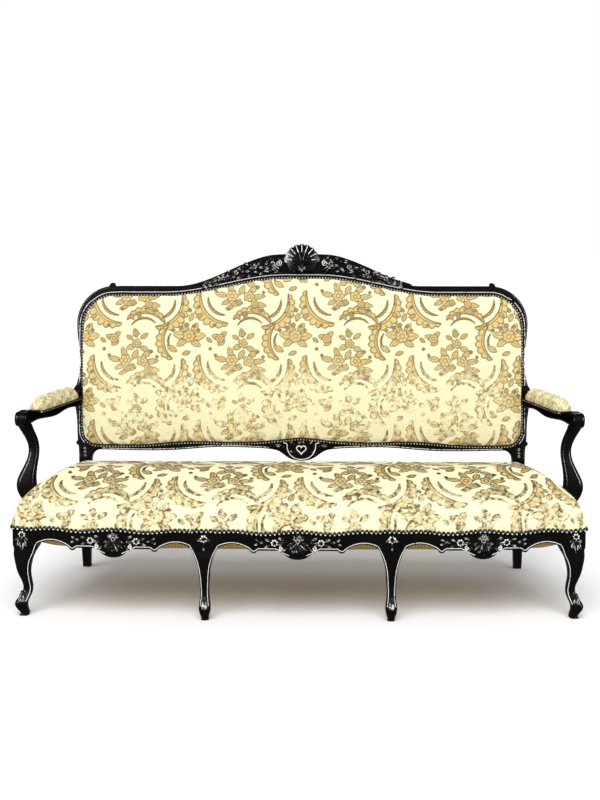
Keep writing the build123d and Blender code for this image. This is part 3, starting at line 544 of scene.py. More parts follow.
# %% Feathers, leaves and blooms of one repeat
REPEAT, DROP = 365.0, 223.0  # of the drawn figure, in its own millimetres
FEATHERS = (  # centre across and up, radius, first and last angle, width, scallops
    (-74, 98, 85, 158, 282, 42, 9), (-66, 104, 60, 176, 270, 12, 8), (74, 84, 82, 258, 384, 40, 9),
    (66, 92, 58, 270, 366, 12, 8), (22, -16, 74, 24, 146, 29, 8), (20, -20, 52, 40, 150, 9, 7),
    (146, 176, 68, 128, 246, 34, 7), (148, 176, 45, 140, 232, 8, 6))
LEAVES = (  # foot across and up, length, width, angle
    (-80, 184, 36, 18, 160), (-84, 190, 30, 16, 40), (-66, 178, 32, 15, 210), (-112, 172, 26, 12, 140),
    (-8, 188, 34, 15, 98), (-18, 182, 28, 13, 150), (6, 184, 34, 15, 34), (-8, 162, 36, 18, 200),
    (4, 156, 34, 17, -20), (-40, 116, 44, 18, 112), (-58, 110, 46, 18, 168), (-44, 98, 42, 16, 206),
    (-20, 112, 40, 18, 62), (10, 116, 46, 18, 40), (20, 104, 52, 17, 6), (26, 82, 50, 17, -8),
    (-6, 84, 46, 16, 184), (18, 66, 44, 14, -24), (-34, 76, 36, 14, 200), (172, 196, 54, 26, 176),
    (176, 190, 56, 26, 6), (172, 204, 40, 20, 120), (182, 204, 42, 20, 58), (176, 182, 46, 20, -32),
    (168, 184, 44, 20, 214), (134, 140, 40, 18, 150), (150, 130, 32, 14, 20), (176, 20, 34, 16, 70),
    (160, 36, 28, 13, 140), (196, 34, 28, 13, 24), (-4, 30, 26, 12, 60), (-16, 26, 26, 12, 120))
BLOOMS = (  # centre across and up, radius, petals
    (-84, 186, 17, 6), (-8, 202, 13, 5), (-6, 168, 17, 5), (-44, 110, 22, 6), (14, 108, 20, 5),
    (34, 82, 15, 5), (-20, 88, 12, 5), (174, 194, 24, 7), (146, 222, 8, 4), (166, 232, 9, 5),
    (192, 228, 7, 4), (206, 214, 7, 4), (120, 214, 7, 4), (-118, 150, 6, 4), (-100, 128, 6, 4),
    (44, 140, 7, 4), (64, 122, 6, 4), (60, 60, 7, 4), (176, 60, 8, 5), (150, 84, 6, 4),
    (206, 72, 6, 4), (-56, 64, 6, 4), (100, 14, 6, 4), (-104, 8, 6, 4), (0, 48, 9, 5))
FIGURE_REACH = 135  # no feather, leaf or bloom reaches further from its own place
SOFT = 1.6  # half the width over which a shape's edge fades
print("damask", len(FEATHERS), "feathers", len(LEAVES), "leaves", len(BLOOMS), "blooms")


# %% Drawing the figure
def soft_edge(distance):
    """1 inside a shape, 0 outside, over a narrow edge."""
    return np.clip(0.5 - distance / (2 * SOFT), 0, 1)


def feather(x, y, cx, cy, radius, start, end, width, scallops):
    """A curved feather with a scalloped outer edge: its body and its dark outline and vein."""
    t = np.clip((np.degrees(np.arctan2(y - cy, x - cx)) - start) % 360 / (end - start), 0, 1)
    inside = (t > 0) & (t < 1)
    r = np.hypot(x - cx, y - cy)
    half = 0.5 * width * np.sin(pi * t) ** 0.55
    outer = radius + half * (0.75 + 0.45 * np.abs(np.sin(scallops * pi * t)))
    inner = radius - half * 0.7
    distance = np.where(inside, np.maximum(r - outer, inner - r), 60.0)
    vein = np.where(inside, np.abs(r - inner - 0.55 * half) - 1.2, 60.0)
    parting = radius * radians(end - start) / (scallops * pi) * np.abs(np.sin(scallops * pi * t)) - 1.2
    parting = np.where(inside & (r > radius + 0.1 * half) & (distance < 0), parting, 60.0)
    edge = np.maximum(soft_edge(np.abs(distance + 1.4) - 1.8), soft_edge(vein))
    return soft_edge(distance), np.maximum(edge, soft_edge(parting))


def petal_leaf(x, y, cx, cy, length, width, angle):
    """A pointed leaf with a midrib."""
    c, s = cos(radians(angle)), sin(radians(angle))
    a, b = (x - cx) * c + (y - cy) * s, -(x - cx) * s + (y - cy) * c
    t = np.clip(a / length, 0, 1)
    half = 0.55 * width * np.sin(pi * t) ** 0.8 * (1 + 0.09 * np.cos(7 * pi * t))
    distance = np.where((a > 0) & (a < length), np.abs(b) - half, 40.0)
    rib = np.where((a > 0.12 * length) & (a < 0.8 * length), np.abs(b) - 0.7, 40.0)
    return soft_edge(distance), np.maximum(soft_edge(np.abs(distance + 1.0) - 1.5), soft_edge(rib))


def bloom(x, y, cx, cy, radius, petals):
    """An open flower with a ringed eye."""
    r, angle = np.hypot(x - cx, y - cy), np.arctan2(y - cy, x - cx)
    distance = r - radius * (0.72 + 0.28 * np.abs(np.cos(petals * angle / 2)))
    eye = np.abs(r - 0.34 * radius) - 1.1
    return soft_edge(distance), np.maximum(soft_edge(np.abs(distance + 1.2) - 1.6), soft_edge(eye))


def damask(u, v, repeat, drop):
    """Pile and dark edge of the figure at places on the flat cloth, in metres."""
    x = ((u / repeat + 0.5) % 1 - 0.5) * REPEAT
    y = (v / drop % 1) * DROP
    pile, dark = np.zeros(len(x)), np.zeros(len(x))
    over = [(a, b) for a in (-REPEAT, 0, REPEAT) for b in (-DROP, 0, DROP)]
    for draw, rows in ((feather, FEATHERS), (petal_leaf, LEAVES), (bloom, BLOOMS)):
        for row in rows:
            for a, b in over:
                near = (np.abs(x + a - row[0]) < FIGURE_REACH) & (np.abs(y + b - row[1]) < FIGURE_REACH)
                if near.any():
                    body, edge = draw(x[near] + a, y[near] + b, *row)
                    pile[near] = np.maximum(pile[near], body)
                    dark[near] = np.where(body > 0.5, edge, np.maximum(dark[near], edge))
    return pile, dark


# %% Velvet
def damask_velvet():
    """Cream ground, gold pile with a darker edge; where the fading attribute is high, from wear and from
    painted sheen of the pile, little of either is kept. The edge attribute also carries painted shade.
    """
    material, tree = new_material("cut_velvet_damask")
    pile, dark, wear_and_sheen = [
        add_node(tree, "ShaderNodeAttribute", attribute_name=name).outputs["Fac"]
        for name in ("pile", "figure_edge_and_shade", "wear_and_sheen")
    ]
    fleck = mottle(tree, 2.381, 4)
    bare, gold, brown = [
        add_node(tree, "ShaderNodeValToRGB", {"Fac": fleck}, ramp=((0.3, low), (0.7, high)))
        for low, high in (("#E4DBA6", "#FBF7D6"), ("#C6A558", "#E8CF8A"), ("#1C1203", "#483514"))
    ]
    # Painted shade: thin lines where the noise crosses its middle turn the ground part way to gold, as shade in
    # creases of the pile.
    ripple = add_node(tree, "ShaderNodeMath", {0: mottle(tree, 20.83, 2)}, {1: 0.5}, operation="SUBTRACT")
    ripple = add_node(tree, "ShaderNodeMath", {0: ripple}, operation="ABSOLUTE")
    crease_shade = add_node(tree, "ShaderNodeValToRGB", {"Fac": ripple},
                      ramp=((0.006, "#8A8A8A"), (0.022, "#000000")))
    ground = add_node(tree, "ShaderNodeMixRGB", {"Fac": crease_shade, "Color1": bare, "Color2": gold})
    # The figure fades where this attribute is high, broken up by noise: wear, and across the back's middle a
    # painted sheen of the pile.
    breakup = add_node(tree, "ShaderNodeMapRange", {"Value": mottle(tree, 13.33)},
                    {"From Min": 0.40, "From Max": 0.56, "To Min": 0.1, "To Max": 1.25})
    broken_wear_and_sheen = add_node(tree, "ShaderNodeMath", {0: wear_and_sheen, 1: breakup}, operation="MULTIPLY")
    whole = add_node(tree, "ShaderNodeMath", {1: broken_wear_and_sheen}, {0: 1.0}, operation="SUBTRACT", use_clamp=True)
    pile_kept, dark_kept = [
        add_node(tree, "ShaderNodeMath", {0: drawn, 1: whole}, operation="MULTIPLY") for drawn in (pile, dark)
    ]
    gilt = add_node(tree, "ShaderNodeMixRGB", {"Fac": pile_kept, "Color1": ground, "Color2": gold})
    cloth = add_node(tree, "ShaderNodeMixRGB", {"Fac": dark_kept, "Color1": gilt, "Color2": brown})
    height = add_node(tree, "ShaderNodeMath", {0: pile, 1: fleck}, operation="ADD")
    relief = add_node(tree, "ShaderNodeBump", {"Height": height}, {"Strength": 0.35, "Distance": 1.2 * MM})
    shader = add_node(tree, "ShaderNodeBsdfPrincipled", {"Base Color": cloth, "Normal": relief},
                      {"Roughness": 0.75, "Sheen Weight": 0.15, "Sheen Roughness": 0.4})
    add_node(tree, "ShaderNodeOutputMaterial", {"Surface": shader})
    return material


velvet = damask_velvet()
print("velvet", len(velvet.node_tree.nodes), "nodes")

# %% [markdown]
# ## Upholstery
# Seat, back and arm pads are covers pulled over stuffing and nailed down. Each starts as a flat cut of
# cloth, a grid laid over a slightly slack pad, and a cloth simulation with a little pressure fills it out
# against its nailed edge, as stuffing does. Subdividing it then gives the vertices that carry the figure.


# %% Cutting a cover
def cloth_grid(name, places, flat):
    """A grid of cloth, its flat cut kept as a UV map in metres; the grid and which vertices are its edge."""
    rows, columns = places.shape[:2]
    bpy.ops.mesh.primitive_grid_add(x_subdivisions=columns - 1, y_subdivisions=rows - 1, size=2)
    obj = bpy.context.object
    obj.name = obj.data.name = name
    at = coordinates(obj)
    column = np.rint((at[:, 0] + 1) / 2 * (columns - 1)).astype(int)
    row = np.rint((at[:, 1] + 1) / 2 * (rows - 1)).astype(int)
    set_coordinates(obj, places[row, column])
    corner = np.empty(len(obj.data.loops), np.int32)
    obj.data.loops.foreach_get("vertex_index", corner)
    obj.data.uv_layers[0].name = "flat_cut"
    obj.data.uv_layers[0].data.foreach_set("uv", flat[row, column][corner].astype(np.float32).ravel())
    return obj, (row == 0) | (row == rows - 1) | (column == 0) | (column == columns - 1)


# %% Swelling a cover
SWELL_FRAMES = 20


def fill_out(obj, pinned, pressure, limit):
    """Let a cover swell against its nailed edge, and cap how far any place has moved."""
    start = coordinates(obj)
    group = obj.vertex_groups.new(name="nailed")
    group.add([int(i) for i in np.nonzero(pinned)[0]], 1.0, "REPLACE")
    select_only(obj)
    bpy.ops.object.modifier_add(type="CLOTH")
    cloth = obj.modifiers[-1]
    cloth.settings.quality = 5
    cloth.settings.vertex_group_mass = "nailed"
    cloth.settings.tension_stiffness = cloth.settings.compression_stiffness = 25
    cloth.settings.bending_stiffness = 2.0
    cloth.settings.use_pressure = True
    cloth.settings.uniform_pressure_force = pressure
    cloth.settings.effector_weights.gravity = 0
    cloth.collision_settings.use_collision = False
    cloth.point_cache.frame_start, cloth.point_cache.frame_end = 1, SWELL_FRAMES
    for step in range(1, SWELL_FRAMES + 1):
        bpy.context.scene.frame_set(step)
    bpy.ops.object.modifier_apply(modifier=cloth.name)
    bpy.context.scene.frame_set(1)
    moved = coordinates(obj) - start
    length = np.linalg.norm(moved, axis=1, keepdims=True)
    set_coordinates(obj, start + moved * np.minimum(1, limit / np.maximum(length, 1e-9)))
    obj.vertex_groups.clear()
    print(obj.name, "swelled up to", round(float(length.max()) * 1000, 1), "mm, held to", limit * 1000)


def subdivide(obj, levels):
    """Round off a mesh with a subdivision surface and apply it."""
    select_only(obj)
    bpy.ops.object.modifier_add(type="SUBSURF")
    obj.modifiers[-1].levels = obj.modifiers[-1].render_levels = levels
    bpy.ops.object.modifier_apply(modifier=obj.modifiers[-1].name)


# %% Figure and closing of a cover
def figure(obj, repeat, drop, shift, wear_and_sheen_at, outline=1.0, shade=0.0):
    """Lay the damask figure on a cover by its flat cut, faded at each place as the given function says, from
    wear and painted sheen; outline deepens the dark edge and shade lays painted shade over the pile.
    """
    corner = np.empty(len(obj.data.loops), np.int32)
    obj.data.loops.foreach_get("vertex_index", corner)
    uv = np.empty(len(corner) * 2, np.float32)
    obj.data.uv_layers["flat_cut"].data.foreach_get("uv", uv)
    flat = np.zeros((len(obj.data.vertices), 2))
    flat[corner] = uv.reshape(-1, 2)
    pile, dark = damask(flat[:, 0] - shift[0], flat[:, 1] - shift[1], repeat, drop)
    set_attribute(obj, "pile", pile)
    set_attribute(obj, "figure_edge_and_shade", np.clip(outline * dark + shade * pile, 0, 1))
    set_attribute(obj, "wear_and_sheen", np.clip(wear_and_sheen_at(coordinates(obj)), 0, 1))


def finish_cover(obj):
    """Close a cover underneath and give it its velvet."""
    close_and_face_out(obj)
    smooth(obj)
    hand_over(obj, velvet)
    obj.visible_glossy = False  # the polished wood stays deep black beside the pale cloth


# %% Form of the seat
SEAT_BASE, SEAT_CROWN = 290.3 * MM, 442 * MM
SEAT_SLACK = 8 * MM  # how much lower the cloth is laid before it fills out
SEAT_DRAW = (190 * MM, 100 * MM, 395 * MM)  # from front, side and rear in to the crown
SEAT_TURN, SEAT_BLEND = radians(82), 8
SIDE_BULGE = 9 * MM
SEAT_ROWS, SEAT_COLUMNS = 72, 170
SIDE_LINE = -50 * MM  # where the cloth is measured from side to side
SUPPORT_HALF, SUPPORT_EASE, SUPPORT_STOP = 46 * MM, 14 * MM, 806 * MM
POST_STOP, REAR_STOP, POST_ROOM = 752 * MM, 262 * MM, 4 * MM
FRONT_HEM, SIDE_HEM = 1.5 * MM, 11 * MM  # below the nail line, and below the frame's upper edge
PRESS_FROM, PRESS_RUN = 325 * MM, 30 * MM  # heights over which the cover is pressed to the leg heads
TURN_IN, TURN_DOWN = (0.965, 0.93, 0), 4 * MM


def seat_height(x, y):
    """Height of the crowned seat over a place in plan."""
    front = (y - front_y(x) + SEAT_SWELL) / SEAT_DRAW[0]
    side = (side_x(y) - np.abs(x) + SEAT_SWELL) / SEAT_DRAW[1]
    rear = (REAR_REACH - y + SEAT_SWELL) / SEAT_DRAW[2]
    share = np.maximum([front, side, rear], 1e-4)
    drawn = np.minimum(np.sum(share ** -float(SEAT_BLEND), axis=0) ** (-1 / SEAT_BLEND), 1)
    turn = np.arccos(1 - drawn * (1 - cos(SEAT_TURN)))
    return SEAT_BASE + (SEAT_CROWN - SEAT_SLACK - SEAT_BASE) * np.sin(turn) / sin(SEAT_TURN)


def even_steps(line, count):
    """Fractions of a span, 0 to 1, at equal steps along a line of (place, height), and the line's length."""
    walked = np.concatenate([[0], np.cumsum(np.hypot(*np.diff(line, axis=1)))])
    places = np.interp(np.linspace(0, walked[-1], count), walked, line[0])
    return (places - line[0][0]) / (line[0][-1] - line[0][0]), walked[-1]


# %% Seat cover laid out
middle_y = np.linspace(front_edge(0), REAR_REACH + SEAT_SWELL, 3000)
share_y, cloth_depth = even_steps(np.array([middle_y, seat_height(0 * middle_y, middle_y)]), SEAT_ROWS)
half_width = side_x(SIDE_LINE) + SEAT_SWELL
middle_x = np.linspace(-half_width, half_width, 6000)
middle_z = seat_height(middle_x, 0 * middle_x + SIDE_LINE)
share_x, cloth_width = even_steps(np.array([middle_x, middle_z]), SEAT_COLUMNS)
across, deep = np.meshgrid(share_x * 2 - 1, share_y)
plan_x = across * FRONT_HALF
for settle in range(4):  # the sides splay, so width and depth are found in turn
    plan_y = front_edge(plan_x) + deep * (REAR_REACH + SEAT_SWELL - front_edge(plan_x))
    plan_x = across * (side_x(plan_y) + SEAT_SWELL)
flat_cut = np.stack(np.meshgrid(np.linspace(-0.5, 0.5, SEAT_COLUMNS) * cloth_width,
                                np.linspace(0, 1, SEAT_ROWS) * cloth_depth), axis=-1)
seat, edge = cloth_grid("seat_velvet", np.stack([plan_x, plan_y, seat_height(plan_x, plan_y)], -1), flat_cut)
fill_out(seat, edge, pressure=3.0, limit=SEAT_SLACK)
print("seat cloth", round(cloth_width, 3), "by", round(cloth_depth, 3), "m")

# %% Seat cover fitted to the frame
# The stuffing bulges over the side rails. The cover is cut round the arm supports and the back posts, and
# stands against them.
at = coordinates(seat)
reach = np.abs(at[:, 0])
rise = np.clip((at[:, 2] - SEAT_BASE) / (SEAT_CROWN - SEAT_BASE), 0, 1)
bulge = SIDE_BULGE * np.sin(pi * rise) * ease(1 - (side_x(at[:, 1]) - reach) / SEAT_DRAW[1])
at[:, 0] += np.sign(at[:, 0]) * bulge
reach = np.abs(at[:, 0])
beside_support = ease((SUPPORT_HALF - np.abs(at[:, 1] - SUPPORT_Y)) / SUPPORT_EASE)
stop = (side_x(at[:, 1]) + SIDE_BULGE + SEAT_SWELL) * (1 - beside_support) + SUPPORT_STOP * beside_support
at_post = (reach > POST_INNER - POST_ROOM) & (at[:, 1] > POST_FRONT - POST_ROOM)
at[:, 0] = np.sign(at[:, 0]) * np.minimum(reach, np.where(at_post, POST_STOP, stop))
at[:, 1] = np.where(at_post, np.minimum(at[:, 1], REAR_STOP), at[:, 1])
set_coordinates(seat, at)
print("seat cover fitted beside", int((beside_support > 0).sum()), "places at the arm supports")

# %% Hem of the seat cover
# The hem turns down over the wood to the nails.
hem = extrude_rim(seat)
at = coordinates(seat)
rim = at[hem]
is_front = rim[:, 1] < front_y(rim[:, 0]) + 6 * MM
rim[:, 2] = np.where(is_front, hem_line(rim[:, 0]) - FRONT_HEM, FRAME_TOP - SIDE_HEM)
at[hem] = rim
set_coordinates(seat, at)
subdivide(seat, 2)

# Over the leg heads the cover is pressed forward, so that it lies on their faces.
at = coordinates(seat)
near_hem = ease((PRESS_FROM - at[:, 2]) / PRESS_RUN) * (at[:, 1] < front_y(at[:, 0]) + 12 * MM)
at[:, 1] += near_hem * (np.minimum(at[:, 1], hem_y(at[:, 0])) - at[:, 1])
set_coordinates(seat, at)
# Painted shade on the seat: the dark edges are drawn deeper and brown is laid over the pile, as shadow where
# the pile stands up.
figure(seat, repeat=0.375, drop=0.235, shift=(0.169, 0.065), outline=1.7, shade=0.16,
       wear_and_sheen_at=lambda p: 0.05 + 0.55 * ease((-0.20 - p[:, 1]) / 0.12))

# Below the nails the cloth is turned in under itself, inside the rails, and closed there.
turned = extrude_rim(seat)
at = coordinates(seat)
at[turned] = at[turned] * TURN_IN + (0, 0, FRAME_TOP - TURN_DOWN)
set_coordinates(seat, at)
finish_cover(seat)
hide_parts("seat_cover", "seat_stuffing")
print("seat cover", len(seat.data.polygons), "faces")

# %% Form of the back
BACK_ROWS, BACK_COLUMNS = 62, 158
BACK_FILL = 0.7  # share of the crown that the cloth is laid with
# Distance in from the sight edge, and how far the back stands forward there
BACK_SWELL = ((1, -2.5), (3, 9), (9, 15.5), (18, 20), (36, 24.5), (60, 27), (125, 30))


def square_to_outline(rows, columns, runs):
    """Spread a grid over an outline given as four runs, by blending each side with the one opposite."""
    top, right, base, left = runs
    top, base = along(top, columns), along(base[::-1], columns)
    right, left = along(right[::-1], rows), along(left, rows)
    s = np.linspace(0, 1, columns)[None, :, None]
    t = np.linspace(0, 1, rows)[:, None, None]
    sides = left[:, None] * (1 - s) + right[:, None] * s
    ends = base[None] * (1 - t) + top[None] * t
    corners = ((1 - s) * (1 - t) * base[0] + s * (1 - t) * base[-1] + (1 - s) * t * top[0] + s * t * top[-1])
    return sides + ends - corners


# %% Back cover
back_outline = sight_outline(1 * MM)
back_plan = square_to_outline(BACK_ROWS, BACK_COLUMNS, back_outline)
rim_points = np.concatenate(back_outline)
flat_points = back_plan.reshape(-1, 2)
inward = np.concatenate([np.min(np.linalg.norm(part[:, None] - rim_points[None], axis=2), axis=1)
                         for part in np.array_split(flat_points, 20)])
swell_at, swell_to = np.array(BACK_SWELL).T * MM
forward = np.interp(inward + 1 * MM, swell_at, swell_to).reshape(back_plan.shape[:2]) * BACK_FILL
back, edge = cloth_grid("back_velvet", laid_back(back_plan, forward), back_plan)
fill_out(back, edge, pressure=2.0, limit=9 * MM)
subdivide(back, 2)


def back_wear_and_sheen(p):
    """A pale band across the middle of the back, where the figure fades: painted sheen of the pile catching the
    light, with a little fading everywhere.
    """
    v = (p[:, 2] - LEAN_START) / cos(LEAN)
    band = ease((0.36 - v) / 0.12) * ease((v - 0.02) / 0.10)
    return 0.68 * band * ease((0.75 - np.abs(p[:, 0])) / 0.12) + 0.05


figure(back, repeat=0.365, drop=0.223, shift=(-0.195, 0.225), wear_and_sheen_at=back_wear_and_sheen)
finish_cover(back)
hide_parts("back_cover", "back_stuffing")
print("back cover", len(back.data.polygons), "faces")

# %% Arm pads
PAD_FRONT, PAD_REAR, PAD_SEAT, PAD_HEIGHT = -105 * MM, 200 * MM, 607 * MM, 50 * MM
PAD_ROWS, PAD_COLUMNS = 41, 19
PAD_ARC = radians(112)  # from the crown down to each nailed edge


def arm_x(y):
    """Middle line of the arm, splaying out to the front."""
    return (770 + 91 * np.maximum((0.235 - y) / 0.420, 0)) * MM


def make_pad(side):
    """One arm pad: a grid bent over the arm like a saddle, swelled at its sides."""
    turn, run = np.meshgrid(np.linspace(-1, 1, PAD_COLUMNS), np.linspace(0, 1, PAD_ROWS))
    y = PAD_FRONT + (PAD_REAR - PAD_FRONT) * run
    end = np.sqrt(np.clip(1 - (2 * run - 1) ** 8, 0, 1))
    half = (18 + 8 * end) * MM
    angle = side * turn * PAD_ARC
    height = PAD_HEIGHT * (0.05 + 0.95 * end)
    x = arm_x(y) + half * np.sin(angle)
    z = PAD_SEAT + height * (np.cos(angle) - cos(PAD_ARC)) / (1 - cos(PAD_ARC))
    flat = np.stack([turn * 0.06, y], -1)
    name = "right_arm_pad" if side > 0 else "left_arm_pad"
    pad, edge = cloth_grid(name + "_velvet", np.stack([side * x, y, z], -1), flat)
    fill_out(pad, edge, pressure=3.0, limit=4 * MM)
    subdivide(pad, 1)
    figure(pad, repeat=0.12, drop=0.075, shift=(0.02, 0.03), wear_and_sheen_at=lambda p: 0.45 + 0 * p[:, 0])
    finish_cover(pad)
    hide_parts(name + "_cover", name + "_stuffing")
    return pad


pads = [make_pad(side) for side in (1, -1)]
print("arm pads", [len(pad.data.polygons) for pad in pads], "faces")

# %% [markdown]
# ## Linings
# A tan calico dust cover is tacked under the seat and hangs slack, and a plain calico closes the outside of
# the back. Both are single sheets.

# %% Dust cover
DUST_LOW, DUST_INSET, DUST_CURVE = 198 * MM, 44 * MM, 75 * MM
DUST_TACK, DUST_TACK_HIGH = 225 * MM, 240 * MM


def tack_height(x):
    """Height at which the dust cover is tacked behind the front rail, following its arches."""
    reach = abs(x)
    bay, half = (reach, CENTRE_BAY) if reach < INNER_LEG else (reach - BAY_CENTRE, SIDE_BAY)
    return min(max(lower_edge(min(abs(bay), half), half) + 3 * MM, DUST_TACK), DUST_TACK_HIGH)


share, span = np.linspace(0, 1, 30)[:, None], np.linspace(-1, 1, 90)[None]
front = -FRONT_REACH + DUST_INSET
dust_y = front * (1 - share) + (REAR_REACH - DUST_INSET) * share + 0 * span
dust_x = span * (side_x(dust_y) - DUST_INSET)
dust_y = dust_y + (1 - share) * (front_y(dust_x) - front_y(0))
from_side = np.abs(dust_x[:, :1]) - np.abs(dust_x)
hang = np.minimum(from_side, np.minimum(dust_y - dust_y[:1], dust_y[-1:] - dust_y))
tacked = np.array([tack_height(x) for x in dust_x[0]])[None] * (1 - share) + DUST_TACK * share
dust_z = tacked - (tacked - DUST_LOW) * np.sin(pi / 2 * np.minimum(hang / DUST_CURVE, 1))
dust_flat = np.stack([dust_x, dust_y], -1)
dust = cloth_grid("dust_calico", np.stack([dust_x, dust_y, dust_z], -1), dust_flat)[0]
subdivide(dust, 1)
smooth(dust)
hand_over(dust, finish["lining"])
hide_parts("seat_dust_cover")

# %% Outside back
OUTSIDE_BACK = -38.6 * MM  # of the lining from the back's face
outside_plan = square_to_outline(30, 60, sight_outline(10 * MM))
outside = cloth_grid("outside_back_calico", laid_back(outside_plan, OUTSIDE_BACK), outside_plan)[0]
smooth(outside)
hand_over(outside, finish["lining"])
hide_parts("outside_back_cover")

# %% [markdown]
# ## Nails
# Round-headed black nails, with a painted glint low on their crowns, stand head to head along the seat's hem,
# round the back's sight edge and under the arm pads. One domed head is made and copied along each line.

# %% One nail head
NAIL_RADIUS, NAIL_FLATTEN = 4.9 * MM, 0.75
bpy.ops.mesh.primitive_uv_sphere_add(segments=10, ring_count=8, radius=NAIL_RADIUS)
nail = bpy.context.object
bpy.ops.object.mode_set(mode="EDIT")
bpy.ops.mesh.select_all(action="SELECT")
bpy.ops.mesh.bisect(plane_co=(0, 0, 0.4 * MM), plane_no=(0, 0, 1), clear_inner=True)
bpy.ops.object.mode_set(mode="OBJECT")
nail_places = coordinates(nail) * (1, 1, NAIL_FLATTEN)
# Painted glint: white is set low on the front of each crown, where a lamp's glint sits.
low_crown = 0.85 * nail_places[:, 2] / NAIL_FLATTEN - 0.5 * nail_places[:, 1]
nail_glint = np.interp(low_crown / low_crown.max(), (0.78, 0.92, 1.0), (0.0, 0.7, 1.5))
nail_faces = [list(face.vertices) for face in nail.data.polygons]
bpy.data.objects.remove(nail)
print("nail head", len(nail_faces), "faces")


# %% Rows of nails
def run_length(points):
    """Length of a run of points."""
    return float(np.linalg.norm(np.diff(points, axis=0), axis=1).sum())


def nail_row(name, points, outward, spacing=10 * MM, size=1.0):
    """A row of nail heads at equal steps along a line, all facing outward; how many there are."""
    spots = along(points, int(run_length(points) / spacing) + 1)
    turn = np.array(Vector(outward).to_track_quat("Z", "Y").to_matrix())
    places = spots[:, None] + size * nail_places @ turn.T
    faces = [[i + n * len(nail_places) for i in face] for n in range(len(spots)) for face in nail_faces]
    mesh = bpy.data.meshes.new(name)
    mesh.from_pydata(places.reshape(-1, 3).tolist(), [], faces)
    obj = bpy.data.objects.new(name, mesh)
    bpy.context.collection.objects.link(obj)
    set_attribute(obj, "rub_and_highlight", np.tile(nail_glint, len(spots)))
    smooth(obj)
    hand_over(obj, white_rub_and_highlight)
    return len(spots)


SEAT_NAILS = {"spacing": 14 * MM, "size": 1.38}
PAD_HALF, PAD_SPACING = 25 * MM, 9.9 * MM
xs = np.linspace(-FRONT_HALF + 4 * MM, FRONT_HALF - 4 * MM, 400)
nails = nail_row("front_nails", np.stack([xs, hem_y(xs), hem_line(xs)], 1), (0, -1, 0), **SEAT_NAILS)
for side, word in ((1, "right"), (-1, "left")):
    ys = np.linspace(CORNER_FRONT + 6 * MM, POST_FRONT - 8 * MM, 100)
    side_line = np.stack([side * (side_x(ys) + SEAT_SWELL), ys, 0 * ys + FRAME_TOP - NAIL_DROP], 1)
    nails += nail_row(word + "_side_nails", side_line, (side, 0, 0), **SEAT_NAILS)
    ys = np.linspace(PAD_FRONT + 4 * MM, PAD_REAR - 4 * MM, 40)
    for edge_side in (1, -1):
        pad_line = np.stack([side * arm_x(ys) + edge_side * PAD_HALF, ys, 0 * ys + PAD_SEAT + 3 * MM], 1)
        label = f"{word}_pad_{'outer' if edge_side == side else 'inner'}_nails"
        nails += nail_row(label, pad_line, (edge_side, 0, 0.3), PAD_SPACING)
    xs = np.linspace(-22 * MM, 22 * MM, 9)
    front_places = (side * arm_x(PAD_FRONT) + xs, PAD_FRONT - 2 * MM, PAD_SEAT + 4 * MM)
    pad_line = np.stack(np.broadcast_arrays(*front_places), 1)
    nails += nail_row(word + "_pad_front_nails", pad_line, (0, -1, 0.3), PAD_SPACING)
sight_loop = np.concatenate(sight_outline(-4 * MM))
sight_loop = np.concatenate([sight_loop, sight_loop[:1]])
nails += nail_row("back_nails", laid_back(sight_loop, 0.4 * MM), (0, -cos(LEAN), sin(LEAN)))
print("nails", nails)

# %% [markdown]
# ## Whitened beads and painted highlight lines
# A narrow bead is run along the rails' lower edges and on down the legs, round the back inside the crest and
# along the foot of the back. On the real frame it is scratched with a profiled iron and rubbed with white; here
# its white is partly that whitening and partly painted highlight along the mouldings' edges.


# %% Running a bead
def bead(points, radius, rub_and_highlight):
    """A thin round bead along a line of points, as a mesh."""
    line = bpy.data.curves.new("bead", "CURVE")
    line.dimensions = "3D"
    line.resolution_u, line.bevel_depth, line.bevel_resolution = 4, radius, 1
    spline = line.splines.new("BEZIER")
    spline.bezier_points.add(len(points) - 1)
    for knot, place in zip(spline.bezier_points, points):
        knot.co = place
        knot.handle_left_type = knot.handle_right_type = "AUTO"
    obj = bpy.data.objects.new("bead", line)
    bpy.context.collection.objects.link(obj)
    select_only(obj)
    bpy.ops.object.convert(target="MESH")
    obj = bpy.context.object
    # The bead's white is rubbed whitening and painted highlight together.
    set_attribute(obj, "rub_and_highlight", np.full(len(obj.data.vertices), rub_and_highlight))
    bpy.ops.object.shade_smooth()
    return obj


# %% Beads on rails and legs
BEAD_RISE = 6.5 * MM  # of the bead above the rails' lower edges
CARTOUCHE_HALF = 26 * MM  # where the rails' beads stop
LEG_LIFT = 0.5 * MM  # of the bead off a leg's face
BEAD_END = lower_edge(SIDE_BAY, SIDE_BAY) + BEAD_RISE


def inner_leg_edge(side):
    """Front edge of the right inner leg, from the rail down to its toe."""
    z, width, back_in = inner_leg_steps[:7].T
    line = np.stack([INNER_LEG + side * (width / 2 - 5 * MM), INNER_FRONT + back_in - LEG_LIFT, z], 1)
    return np.concatenate([[(INNER_LEG + side * INNER_HEAD / 2, INNER_FRONT - LEG_LIFT, BEAD_END)], line])


def corner_leg_edge():
    """Inner front edge of the right corner leg."""
    z, size, inset = corner_leg_steps[:7].T
    line = np.stack([FRONT_HALF - inset - size + 5.5 * MM, CORNER_FRONT + inset - LEG_LIFT, z], 1)
    return np.concatenate([[(FRONT_HALF - CORNER_HEAD, CORNER_FRONT - LEG_LIFT, BEAD_END)], line])


def rail_bead(centre, half, side):
    """Line of the bead on one half of a front rail, from its cartouche to its leg."""
    us = side * np.linspace(CARTOUCHE_HALF, half, 31)
    low = np.array([lower_edge(u, half) for u in us]) + BEAD_RISE
    return on_front(centre + us, low, 0.8 * MM)


